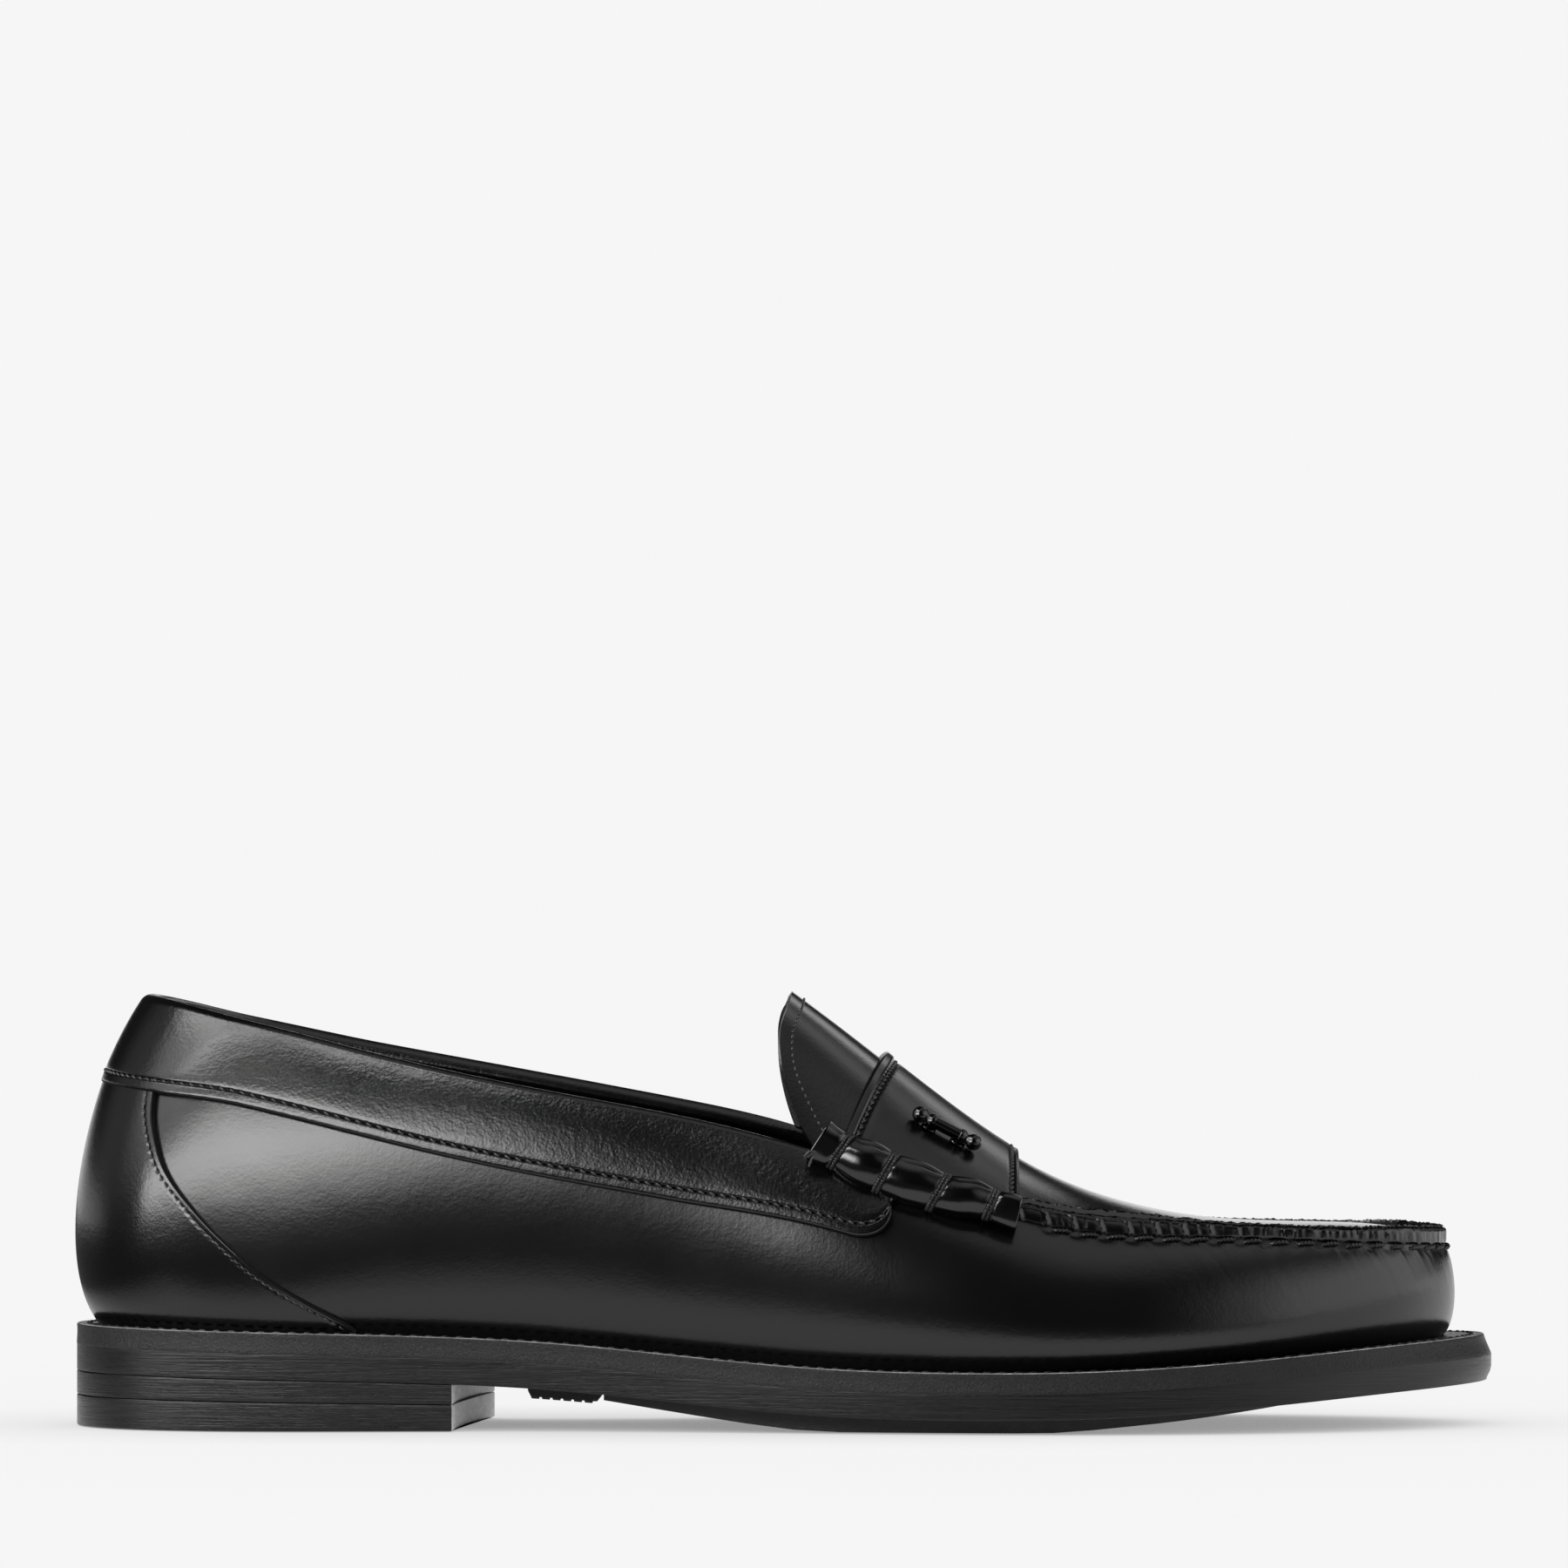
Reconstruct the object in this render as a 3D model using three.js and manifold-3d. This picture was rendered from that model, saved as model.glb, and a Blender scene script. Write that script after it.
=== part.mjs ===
// A right-foot penny loafer with beef rolls: a hand-sewn moccasin upper on a stitched
// sole with a stacked heel. Millimetres. +X points to the toe, -Y to the outer side of
// the foot and +Z up; the ground is z = 0 and the origin lies under the middle.
//
// The upper is built on one skin, the side wall. It rises from the feather line, where it
// meets the welt, to its upper edge: the topline behind and the apron seam in front. Every
// leather, lining and stiffener is a layer at its own distance from that skin, or from
// the instep skin that closes the front between the two sides of the apron seam.

import * as THREE from "three";
import Module from "manifold-3d";
import { mergeVertices } from "three/addons/utils/BufferGeometryUtils.js";

// ---------------------------------------------------------------- driving dimensions

const GAP = 0.3; // clearance between neighbouring pieces
const LEATHER = 1.3;
const LINING = 1.0;
const WELT = 4.6;
const OUTSOLE = 5.0;
const INSOLE = 2.5;
const SOCK = 0.8;
const FLANGE = 4.0; // height of the raised apron seam
const COLLAR = 16; // width of the band along the topline
const THREAD = 0.5; // thread diameter of machine stitching
const CORD = 0.9; // thread diameter of the hand-sewn apron seam

const ROLL_RADIUS = 4.3; // beef roll at its thickest
const ROLL_FROM = 6; // beef roll, x of its back and front ends
const ROLL_TO = 49.4;
const WRAPS = [0.16, 0.42, 0.68, 0.92]; // where thread binds the roll, along its length

// Stations round the shoe, from the back of the heel along the outer side to the toe and
// home along the inner side. sole: edge of the outsole in plan. ledge: how far the wall's
// foot stands in from it. edge: the wall's upper edge. low, high: how far the wall swells
// outwards near its foot and below its upper edge.
const STATIONS = [
  { sole: [-150, 0], ledge: 6.0, edge: [-134.6, 0, 90.4], low: 9, high: 12.5 },
  { sole: [-141.5, -23.5], ledge: 6.0, edge: [-128, -16.5, 89], low: 8.5, high: 11.5 },
  { sole: [-117, -36.5], ledge: 5.6, edge: [-111, -26, 85.3], low: 7.5, high: 9 },
  { sole: [-84, -37], ledge: 5.0, edge: [-82, -30.5, 78.2], low: 6.5, high: 7.5 },
  { sole: [-49, -37], ledge: 4.8, edge: [-50, -33, 71.4], low: 6, high: 6.5 },
  { sole: [-12, -42], ledge: 5.0, edge: [-15, -34.5, 64.6], low: 5.5, high: 7.5 },
  { sole: [25, -50], ledge: 5.4, edge: [20, -37.5, 51.2], low: 5.5, high: 10 },
  { sole: [61, -53], ledge: 5.6, edge: [55, -39, 42.6], low: 5.5, high: 10 },
  { sole: [96, -48], ledge: 6.4, edge: [89, -36.5, 40.8], low: 5, high: 8.5 },
  { sole: [123, -36], ledge: 8.0, edge: [117, -27.5, 39], low: 4, high: 6 },
  { sole: [142, -17.5], ledge: 9.4, edge: [134, -13.5, 37.7], low: 3, high: 3.2 },
  { sole: [150, 4], ledge: 9.8, edge: [140.3, 3.5, 37.3], low: 2.6, high: 2.4 },
  { sole: [145.5, 24], ledge: 9.2, edge: [136.5, 18.5, 37.8], low: 3, high: 3.2 },
  { sole: [130, 39.5], ledge: 7.8, edge: [123, 30, 38.5], low: 4, high: 6 },
  { sole: [105, 49], ledge: 6.4, edge: [98, 36.5, 39], low: 5, high: 8.5 },
  { sole: [74, 53], ledge: 5.6, edge: [68, 39, 41.2], low: 5.5, high: 10 },
  { sole: [43, 50.5], ledge: 5.4, edge: [38, 38.5, 46.6], low: 5.5, high: 10 },
  { sole: [9, 40.5], ledge: 5.0, edge: [8, 36, 59.4], low: 6, high: 8 },
  { sole: [-27, 33], ledge: 4.6, edge: [-24, 33.5, 68.6], low: 7, high: 6.5 },
  { sole: [-63, 32], ledge: 4.8, edge: [-60, 31, 75.4], low: 7, high: 6.5 },
  { sole: [-98, 35.5], ledge: 5.2, edge: [-95, 28.5, 82], low: 7, high: 8 },
  { sole: [-131, 32], ledge: 5.8, edge: [-120, 22.5, 87.2], low: 8, high: 10.5 },
];
const TOE = 11; // the station at the toe
const COLUMNS = STATIONS.length * 3; // mesh steps round the shoe
const ROWS = 6; // mesh steps up the wall

// Side profiles as [x, z]: the welt's top, the underside of the tread, the joint between
// the heel's lift and its top piece, and the crest of the instep.
const WELT_TOP = [
  [-150, 21.6], [-110, 20.7], [-74, 19.8], [-50, 18.6], [-27, 16.5], [-6, 14.5],
  [15, 13.2], [35, 12.8], [60, 13], [99, 15.3], [124, 17.5], [150, 19.2],
];
const TREAD_UNDER = [
  [-38, 6.3], [-20, 3.4], [0, 0.6], [12, 0],
  [52, 0], [74, 1.6], [100, 4.4], [116, 6.1],
];
const LIFT_UNDER = [[-150, 6.6], [-60, 5.4]];
const CREST = [
  [-6, 97], [1.7, 91.5], [18, 79.2], [36, 65.4], [55, 53.4],
  [74, 46.6], [92, 43.4], [115, 41], [140.3, 37.6],
];

// The heel block ends here: x on the outer and on the inner side.
const BREAST = [-69.8, -62.2];

// Front edge of the heel's counter cover, seen from the side, as [z, x].
const COUNTER_EDGE = [
  [14, -84], [23, -93], [34, -109], [46, -125.5], [59, -133], [74, -132], [92, -130],
];

// ---------------------------------------------------------------- numbers and curves

const wrap = (u) => ((u % 1) + 1) % 1;
const mix = THREE.MathUtils.lerp;
const range = (n, f) => Array.from({ length: n }, (_, i) => f(i));

// A smooth height through [x, z] pairs.
function profile(pairs) {
  const slope = pairs.map((_, i) => {
    const a = pairs[Math.max(0, i - 1)];
    const b = pairs[Math.min(pairs.length - 1, i + 1)];
    const flat = [pairs[i - 1], pairs[i + 1]].some((p) => p && p[1] === pairs[i][1]);
    return flat ? 0 : (b[1] - a[1]) / (b[0] - a[0]);
  });
  return (x) => {
    let i = 0;
    while (i < pairs.length - 2 && x > pairs[i + 1][0]) i++;
    const [x0, z0] = pairs[i];
    const [x1, z1] = pairs[i + 1];
    const t = THREE.MathUtils.clamp((x - x0) / (x1 - x0), 0, 1);
    const h = x1 - x0;
    const a = (1 + 2 * t) * (1 - t) ** 2 * z0 + t * (1 - t) ** 2 * h * slope[i];
    return a + t * t * (3 - 2 * t) * z1 + t * t * (t - 1) * h * slope[i + 1];
  };
}

// A closed smooth curve through one point for each station; u runs from 0 to 1 round the shoe.
function round(points) {
  const curve = new THREE.CatmullRomCurve3(points, true, "catmullrom", 0.5);
  return (u) => curve.getPoint(wrap(u));
}

// The value between low and high where a rising test function passes zero.
function solve(low, high, test) {
  for (let i = 0; i < 40; i++) {
    const middle = (low + high) / 2;
    if (test(middle) < 0) low = middle;
    else high = middle;
  }
  return (low + high) / 2;
}

const weltTop = profile(WELT_TOP);
const treadUnder = profile(TREAD_UNDER);
const liftUnder = profile(LIFT_UNDER);
const crest = profile(CREST);
const counterEdge = profile(COUNTER_EDGE);
const outsoleTop = (x) => weltTop(x) - WELT - GAP;
const outsoleUnder = (x) => outsoleTop(x) - OUTSOLE;

const stationU = (k) => k / STATIONS.length;
const soleEdge = round(STATIONS.map((s) => new THREE.Vector3(s.sole[0], s.sole[1], 0)));
const upperEdge = round(STATIONS.map((s) => new THREE.Vector3(...s.edge)));
const swell = round(STATIONS.map((s) => new THREE.Vector3(s.ledge, s.low, s.high)));

// Outward direction in plan.
function outward(u) {
  const along = soleEdge(u + 0.002).sub(soleEdge(u - 0.002));
  return new THREE.Vector3(along.y, -along.x, 0).normalize();
}

// The sole's outline moved in by a distance, at z = 0.
const outline = (u, inset) => soleEdge(u).addScaledVector(outward(u), -inset);

// u on the outer (side -1) or inner (side 1) half where a curve reaches x.
function uAtX(curve, side, x) {
  const half = (s) => (side < 0 ? s / 2 : 1 - s / 2);
  return half(solve(0, 1, (s) => curve(half(s)).x - x));
}

// ---------------------------------------------------------------- the two skins

const FEATHER_LIFT = 0.6; // height of the wall's foot above the welt

// A point of the side wall: t is 0 at the feather line and 1 at the upper edge.
function wallSkin(u, t) {
  const [ledge, low, high] = swell(u).toArray();
  const out = outward(u);
  const foot = outline(u, ledge);
  foot.z = weltTop(foot.x) + FEATHER_LIFT;
  const top = upperEdge(u);
  const rise = top.z - foot.z;
  const lower = foot.clone().addScaledVector(out, low);
  lower.z += 0.18 * rise;
  const upper = top.clone().addScaledVector(out, high);
  upper.z -= 0.28 * rise;
  return new THREE.CubicBezierCurve3(foot, lower, upper, top).getPoint(t);
}

function offsetFrom(skin, a, b, da, db, out) {
  const point = skin(a, b);
  const alongA = skin(a + da, b).sub(skin(a - da, b));
  const alongB = skin(a, b + db).sub(skin(a, b - db));
  return point.addScaledVector(alongA.cross(alongB).normalize(), out);
}

const wall = (u, t, out) => offsetFrom(wallSkin, u, t, 0.002, 0.01, out);

// t of the point that lies a distance below the upper edge, along the wall.
function tBelow(u, distance) {
  return solve(0, 1, (t) => distance - wallSkin(u, t).distanceTo(wallSkin(u, 1)));
}

// u on one side where the counter cover ends, at height t.
function counterU(side, t) {
  const half = (s) => (side < 0 ? s / 2 : 1 - s / 2);
  const ahead = (s) => {
    const p = wallSkin(half(s), t);
    return p.x - counterEdge(p.z);
  };
  return half(solve(0, 0.6, ahead));
}

// The instep skin spans from the tongue's free edge (r = 0) to the toe (r = 1) and from the
// outer side of the apron seam (v = -1) to the inner side (v = 1).
const SEAM_INSET = 1.7; // the apron lies inside the wall's leather
const THROAT = 6.3; // x where the tongue leaves the wall
const ARC_FROM = stationU(TOE - 2);
const ARC_TO = stationU(TOE + 2);

const seam = (u) => upperEdge(u).addScaledVector(outward(u), -SEAM_INSET);
const seamSide = (side, r) => {
  const front = seam(side < 0 ? ARC_FROM : ARC_TO).x;
  return seam(uAtX(seam, side, mix(THROAT, front, r)));
};
const toeArc = (v) => seam(mix(ARC_FROM, ARC_TO, (v + 1) / 2));
const tongueEdgeX = (v) => 1.7 - 16 * v ** 2 + (THROAT - 1.7 + 16) * v ** 4;

const cachedSides = new Map();
function sides(r) {
  if (!cachedSides.has(r)) cachedSides.set(r, [seamSide(-1, r), seamSide(1, r)]);
  return cachedSides.get(r);
}

function instepSkin(r, v) {
  const w = (v + 1) / 2;
  const [left, right] = sides(r);
  const [left0, right0] = sides(0);
  const [left1, right1] = sides(1);
  const arc = toeArc(v);
  const across = left.clone().lerp(right, w);
  // The two cross edges differ from straight lines between their ends by these amounts.
  const backBow = tongueEdgeX(v) - THROAT;
  const bow = arc.clone().sub(left1.clone().lerp(right1, w));
  const point = across.clone();
  point.x += (1 - r) * (backBow + THROAT - mix(left0.x, right0.x, w)) + r * bow.x;
  point.y += r * bow.y;
  const middle = left.clone().lerp(right, 0.5);
  const backShift = (1 - r) * (tongueEdgeX(0) - THROAT);
  const frontShift = r * (toeArc(0).x - (left1.x + right1.x) / 2);
  const middleX = middle.x + backShift + frontShift;
  const crown = crest(middleX) - middle.z - r ** 4 * (toeArc(0).z - (left1.z + right1.z) / 2);
  point.z += crown * (1 - Math.abs(v) ** 2.2) + r ** 4 * bow.z;
  return point;
}

const instep = (r, v, out) => offsetFrom(instepSkin, r, v, 0.004, 0.01, out);

// r where the instep skin reaches x.
const rAtX = (x, v) => solve(0, 1, (r) => instepSkin(r, v).x - x);

// ---------------------------------------------------------------- solids

function solidFrom(points, triangles) {
  const corner = ([a, b, c]) => points[a].dot(points[b].clone().cross(points[c]));
  const volume = triangles.reduce((sum, triangle) => sum + corner(triangle), 0);
  const faces = volume < 0 ? triangles.map(([a, b, c]) => [a, c, b]) : triangles;
  const geometry = new THREE.BufferGeometry().setFromPoints(points);
  geometry.setIndex(faces.flat());
  return geometry;
}

// Joins rings of an even number of points. An open loft is closed at its ends by strips
// from each ring's first half to its second half.
function loft(rings, closed = false) {
  const count = rings[0].length;
  const triangles = [];
  const quad = (a, b, c, d) => triangles.push([a, b, c], [a, c, d]);
  const last = closed ? rings.length : rings.length - 1;
  for (let i = 0; i < last; i++) {
    const here = i * count;
    const next = ((i + 1) % rings.length) * count;
    for (let j = 0; j < count; j++) {
      const k = (j + 1) % count;
      quad(here + j, next + j, next + k, here + k);
    }
  }
  if (!closed) {
    const end = (rings.length - 1) * count;
    for (let j = 0; j < count / 2 - 1; j++) {
      quad(j, j + 1, count - 2 - j, count - 1 - j);
      quad(end + count - 1 - j, end + count - 2 - j, end + j + 1, end + j);
    }
  }
  return solidFrom(rings.flat(), triangles);
}

// A layer of a skin between two distances from it. at(i, j, out) gives its points.
function layer(columns, rows, at, outer, inner) {
  return loft(
    range(columns + 1, (i) => [
      ...range(rows + 1, (j) => at(i / columns, j / rows, outer)),
      ...range(rows + 1, (j) => at(i / columns, 1 - j / rows, inner)),
    ]),
  );
}

// A flat piece of the sole, between a top and an underside that depend only on x. Its edge
// stands in from the sole's edge by inset(u). from and to are its ends, as x on the outer
// and on the inner side; without them it reaches from heel to toe.
function slab({ inset = () => 0, top, under, steps = 30, from, to }) {
  const edge = (u) => outline(u, inset(u));
  const tip = 0.15; // a rounded end stops this far short of its extreme point
  const start = from ?? [edge(0).x + tip, edge(0).x + tip];
  const end = to ?? [edge(stationU(TOE)).x - tip, edge(stationU(TOE)).x - tip];
  // The steps close up towards each rounded end.
  const [first, last] = [from ? Math.PI / 2 : 0, to ? Math.PI / 2 : Math.PI];
  const spread = (share) => {
    const turn = mix(first, last, share);
    return (Math.cos(first) - Math.cos(turn)) / (Math.cos(first) - Math.cos(last));
  };
  const rings = range(steps + 1, (i) => {
    const [outer, inner] = [-1, 1].map((side, k) => {
      return edge(uAtX(edge, side, mix(start[k], end[k], spread(i / steps))));
    });
    const at = (p, z) => new THREE.Vector3(p.x, p.y, z(p.x));
    return [at(outer, top), at(inner, top), at(inner, under), at(outer, under)];
  });
  return loft(rings);
}

// A round thread along points.
function thread(points, diameter, sides, steps) {
  const section = new THREE.Shape(
    range(sides, (i) => {
      const turn = (2 * Math.PI * i) / sides;
      return new THREE.Vector2((Math.cos(turn) * diameter) / 2, (Math.sin(turn) * diameter) / 2);
    }),
  );
  return new THREE.ExtrudeGeometry(section, {
    extrudePath: new THREE.CatmullRomCurve3(points),
    steps,
  });
}

const wasm = await Module();
wasm.setup();

function toManifold(geometry) {
  const bare = geometry.clone();
  bare.deleteAttribute("normal");
  bare.deleteAttribute("uv");
  const merged = mergeVertices(bare, 1e-3);
  return new wasm.Manifold(
    new wasm.Mesh({
      numProp: 3,
      vertProperties: merged.attributes.position.array,
      triVerts: new Uint32Array(merged.index.array),
    }),
  );
}

function cut(geometry, ...tools) {
  const left = tools.reduce((rest, tool) => rest.subtract(toManifold(tool)), toManifold(geometry));
  const made = left.getMesh();
  const result = new THREE.BufferGeometry();
  const position = new THREE.BufferAttribute(Float32Array.from(made.vertProperties), 3);
  result.setAttribute("position", position);
  result.setIndex(Array.from(made.triVerts));
  return result;
}

// An upright cylinder from one height to another.
function upright(radius, x, y, low, high, sides = 10) {
  const geometry = new THREE.CylinderGeometry(radius, radius, high - low, sides);
  return geometry.rotateX(Math.PI / 2).translate(x, y, (low + high) / 2);
}

// ---------------------------------------------------------------- materials

function material(color, roughness, metalness = 0) {
  return new THREE.MeshStandardMaterial({ color, roughness, metalness });
}
const MATERIALS = {
  boxCalf: material(0x0c0c0d, 0.28),
  lining: material(0x1b1a1a, 0.6),
  edge: material(0x1d1d1e, 0.5),
  rubber: material(0x101011, 0.75),
  cork: material(0xa9794a, 0.9),
  board: material(0xc2a983, 0.85),
  fibre: material(0xd8d2c4, 0.9),
  foam: material(0x303030, 0.95),
  steel: material(0x9a9ca0, 0.35, 1),
  gunmetal: material(0x1c1c20, 0.2, 1),
  thread: material(0x151515, 0.7),
};

const loafer = new THREE.Group();
function add(name, geometry, look) {
  const mesh = new THREE.Mesh(geometry, look);
  mesh.name = name;
  loafer.add(mesh);
}

// ---------------------------------------------------------------- the sole

const NAIL = { radius: 0.8, low: 0.7, high: 14.5 };
const NAILS = [[-139, 0], [-129, -19], [-129, 19], [-106, -26], [-106, 25]];
const TREAD_INSET = 6.5;
const TREAD_ROUND = 27; // how much further in the tread's front edge stands at the toe
const PATCH = { from: -55, to: -40, half: 13, ribs: 3, tall: 1.6, groove: 0.6 };
const SHANK = { from: -112, to: -12, half: 7, thick: 0.9, sunk: 0.4 };
const WELT_WIDE = 14;
const CORK = { inset: 15, sunk: 1.7 }; // the cork lies inside the welt, below the shank

const underOutsole = (x) => outsoleUnder(x) - GAP;
const aboveWelt = (height) => (x) => weltTop(x) + height;
const inLining = (u) => swell(u).x + 4.9; // clear of the lining's inner face

function addSole() {
  const welt = range(COLUMNS, (i) => {
    const [outer, inner] = [0, WELT_WIDE].map((inset) => outline(i / COLUMNS, inset));
    const at = (p, drop) => new THREE.Vector3(p.x, p.y, weltTop(p.x) - drop);
    return [at(outer, 0), at(inner, 0), at(inner, WELT), at(outer, WELT)];
  });
  add("welt", loft(welt, true), MATERIALS.edge);

  const holes = NAILS.map(([x, y]) => upright(NAIL.radius + GAP, x, y, -1, NAIL.high + GAP));
  add("outsole", cut(slab({ top: outsoleTop, under: outsoleUnder }), ...holes), MATERIALS.edge);
  const lift = slab({ top: underOutsole, under: liftUnder, steps: 14, to: BREAST });
  add("heel_lift", cut(lift, ...holes), MATERIALS.edge);
  const topPiece = slab({ top: (x) => liftUnder(x) - GAP, under: () => 0, steps: 14, to: BREAST });
  add("heel_top_piece", cut(topPiece, ...holes), MATERIALS.rubber);
  NAILS.forEach(([x, y], i) => {
    add(`heel_nail_${i + 1}`, upright(NAIL.radius, x, y, NAIL.low, NAIL.high), MATERIALS.steel);
  });

  const treadBack = TREAD_UNDER[0][0];
  const tread = slab({
    inset: (u) => TREAD_INSET + TREAD_ROUND * THREE.MathUtils.smoothstep(soleEdge(u).x, 75, 150),
    top: underOutsole,
    under: treadUnder,
    from: [treadBack, treadBack],
    steps: 24,
  });
  add("forefoot_tread", tread, MATERIALS.rubber);
  addWaistTread();

  const cork = slab({
    inset: () => CORK.inset,
    top: aboveWelt(-CORK.sunk),
    under: aboveWelt(-WELT + GAP),
  });
  add("cork_filler", cork, MATERIALS.cork);
  const shank = range(13, (i) => {
    const x = mix(SHANK.from, SHANK.to, i / 12);
    const at = (y, height) => new THREE.Vector3(x, y, weltTop(x) + height);
    const [top, under] = [-SHANK.sunk, -SHANK.sunk - SHANK.thick];
    const { half } = SHANK;
    return [at(-half, top), at(half, top), at(half, under), at(-half, under)];
  });
  add("steel_shank", loft(shank), MATERIALS.steel);
  const insole = slab({ inset: inLining, top: aboveWelt(INSOLE + GAP), under: aboveWelt(GAP) });
  add("insole_board", insole, MATERIALS.board);
  const sockUnder = INSOLE + 2 * GAP;
  const sock = slab({
    inset: inLining,
    top: aboveWelt(sockUnder + SOCK),
    under: aboveWelt(sockUnder),
  });
  add("sock_liner", sock, MATERIALS.lining);

  const lockLine = 2.4; // the stitches stand this far in from the welt's edge
  const stitches = range(66, (i) => {
    const p = outline(mix(0.004, 0.996, i / 65), lockLine);
    return new THREE.Vector3(p.x, p.y, weltTop(p.x) + GAP + THREAD / 2);
  });
  add("welt_thread", thread(stitches, THREAD, 4, 66), MATERIALS.thread);
}

// A ribbed patch under the waist, just ahead of the heel.
function addWaistTread() {
  const spans = 2 * PATCH.ribs - 1;
  const rings = range(2 * spans, (i) => {
    const span = Math.floor(i / 2);
    const edge = i % 2 ? -0.01 : 0.01; // keeps the sides of a groove from being quite upright
    const x = mix(PATCH.from, PATCH.to, (span + (i % 2)) / spans) + edge;
    const top = underOutsole(x);
    const low = top - (span % 2 ? PATCH.groove : PATCH.tall);
    const at = (y, z) => new THREE.Vector3(x, y, z);
    return [at(-PATCH.half, top), at(PATCH.half, top), at(PATCH.half, low), at(-PATCH.half, low)];
  });
  add("waist_tread", loft(rings), MATERIALS.rubber);
}

// ---------------------------------------------------------------- the upper

const COVER = [1.6, 0.4]; // outer and inner distance of the counter cover from the skin
const BAND = [2.0, 0.4]; // of the collar band
const MIDDLE = [-1.8, -2.8]; // of the stiffeners and the collar foam, under the leather
const INSIDE = [-3.2, -3.2 - LINING]; // of the linings

// Layers of the wall take their columns from one grid round the shoe, so that they nest:
// column 0 is at the back of the heel, and those of the outer side come first.
const column = (station) => Math.round((station * COLUMNS) / STATIONS.length);
function wallLayer({ from, to, low, high, rows = ROWS, depth }) {
  const at = (i, j, out) => {
    const k = mix(from, to, i);
    return wall(k / COLUMNS, mix(low(k), high(k), j), out);
  };
  return layer(to - from, rows, at, ...depth);
}

function addWall() {
  // The wall's rows end in a flange, the raised apron seam, which dies away behind.
  const topline = 0.6; // height of the flange behind the rolls
  const [fadeFrom, fadeTo] = [ROLL_TO - 2, ROLL_TO + 14];
  const flange = (u) => {
    const raised = THREE.MathUtils.smoothstep(upperEdge(u).x, fadeFrom, fadeTo);
    return mix(topline, FLANGE, raised);
  };
  const rings = range(COLUMNS, (k) => {
    const u = k / COLUMNS;
    const sheet = (out) => {
      const points = range(ROWS + 1, (j) => wall(u, j / ROWS, out));
      const lip = points.at(-1).clone();
      lip.z += flange(u);
      return [...points, lip];
    };
    return [...sheet(0), ...sheet(-LEATHER).reverse()];
  });
  add("vamp_wall", loft(rings, true), MATERIALS.boxCalf);
}

function addHeelCounter() {
  const reach = column(3.4);
  const skin = wallLayer({
    from: -reach,
    to: reach,
    low: () => 0.05,
    high: (k) => tBelow(k / COLUMNS, COLLAR + 0.5),
    depth: COVER,
  });
  // Seen from the side, everything ahead of the cover's front edge is cut away.
  const away = new THREE.Shape([
    ...range(16, (i) => {
      const z = mix(COUNTER_EDGE[0][0], COUNTER_EDGE.at(-1)[0], i / 15);
      return new THREE.Vector2(counterEdge(z), z);
    }),
    new THREE.Vector2(0, COUNTER_EDGE.at(-1)[0]),
    new THREE.Vector2(0, COUNTER_EDGE[0][0]),
  ]);
  const block = new THREE.ExtrudeGeometry(away, { depth: 120, bevelEnabled: false });
  block.rotateX(Math.PI / 2).translate(0, 60, 0);
  add("counter_cover", cut(skin, block), MATERIALS.boxCalf);

  const stiffener = wallLayer({
    from: -column(3),
    to: column(3),
    low: () => 0.08,
    high: () => 0.66,
    depth: MIDDLE,
  });
  add("heel_stiffener", stiffener, MATERIALS.fibre);

  for (const [name, side] of [["outer", -1], ["inner", 1]]) {
    const line = range(18, (i) => {
      const t = mix(0.07, 0.74, i / 17);
      const back = 0.0035; // set back from the cover's edge, in u
      return wall(counterU(side, t) + side * back, t, COVER[0] + GAP + THREAD / 2);
    });
    add(`counter_thread_${name}`, thread(line, THREAD, 4, 24), MATERIALS.thread);
  }
}

const COLLAR_END = 21; // x of the collar band's ends, under the beef rolls

function addCollar() {
  const ends = [-1, 1].map((side) => column(STATIONS.length * uAtX(upperEdge, side, COLLAR_END)));
  const [from, to] = [ends[1] - COLUMNS, ends[0]];
  // The band's ends are rounded, and its upper edge passes below the beef rolls.
  const below = (k) => {
    const toEnd = Math.min(k - from, to - k) / 2;
    return toEnd >= 1 ? COLLAR : mix(COLLAR - 3.5, COLLAR, Math.sqrt(1 - (1 - toEnd) ** 2));
  };
  const underRoll = (k) => {
    const { x } = upperEdge(k / COLUMNS);
    return 8.5 * THREE.MathUtils.smoothstep(x, ROLL_FROM - 10, ROLL_FROM);
  };
  const band = wallLayer({
    from,
    to,
    low: (k) => tBelow(k / COLUMNS, below(k)),
    high: (k) => tBelow(k / COLUMNS, underRoll(k)),
    rows: 3,
    depth: BAND,
  });
  add("collar_band", band, MATERIALS.boxCalf);

  const foam = wallLayer({
    from: -column(5),
    to: column(5),
    low: (k) => Math.max(0.68, tBelow(k / COLUMNS, COLLAR)),
    high: (k) => tBelow(k / COLUMNS, 2.5),
    rows: 2,
    depth: MIDDLE,
  });
  add("collar_foam", foam, MATERIALS.foam);

  const stitched = range(66, (i) => {
    const k = mix(from + 0.5, to - 0.5, i / 65);
    return wall(k / COLUMNS, tBelow(k / COLUMNS, COLLAR - 2.6), BAND[0] + GAP + THREAD / 2);
  });
  add("collar_thread", thread(stitched, THREAD, 4, 66), MATERIALS.thread);
}

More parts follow.
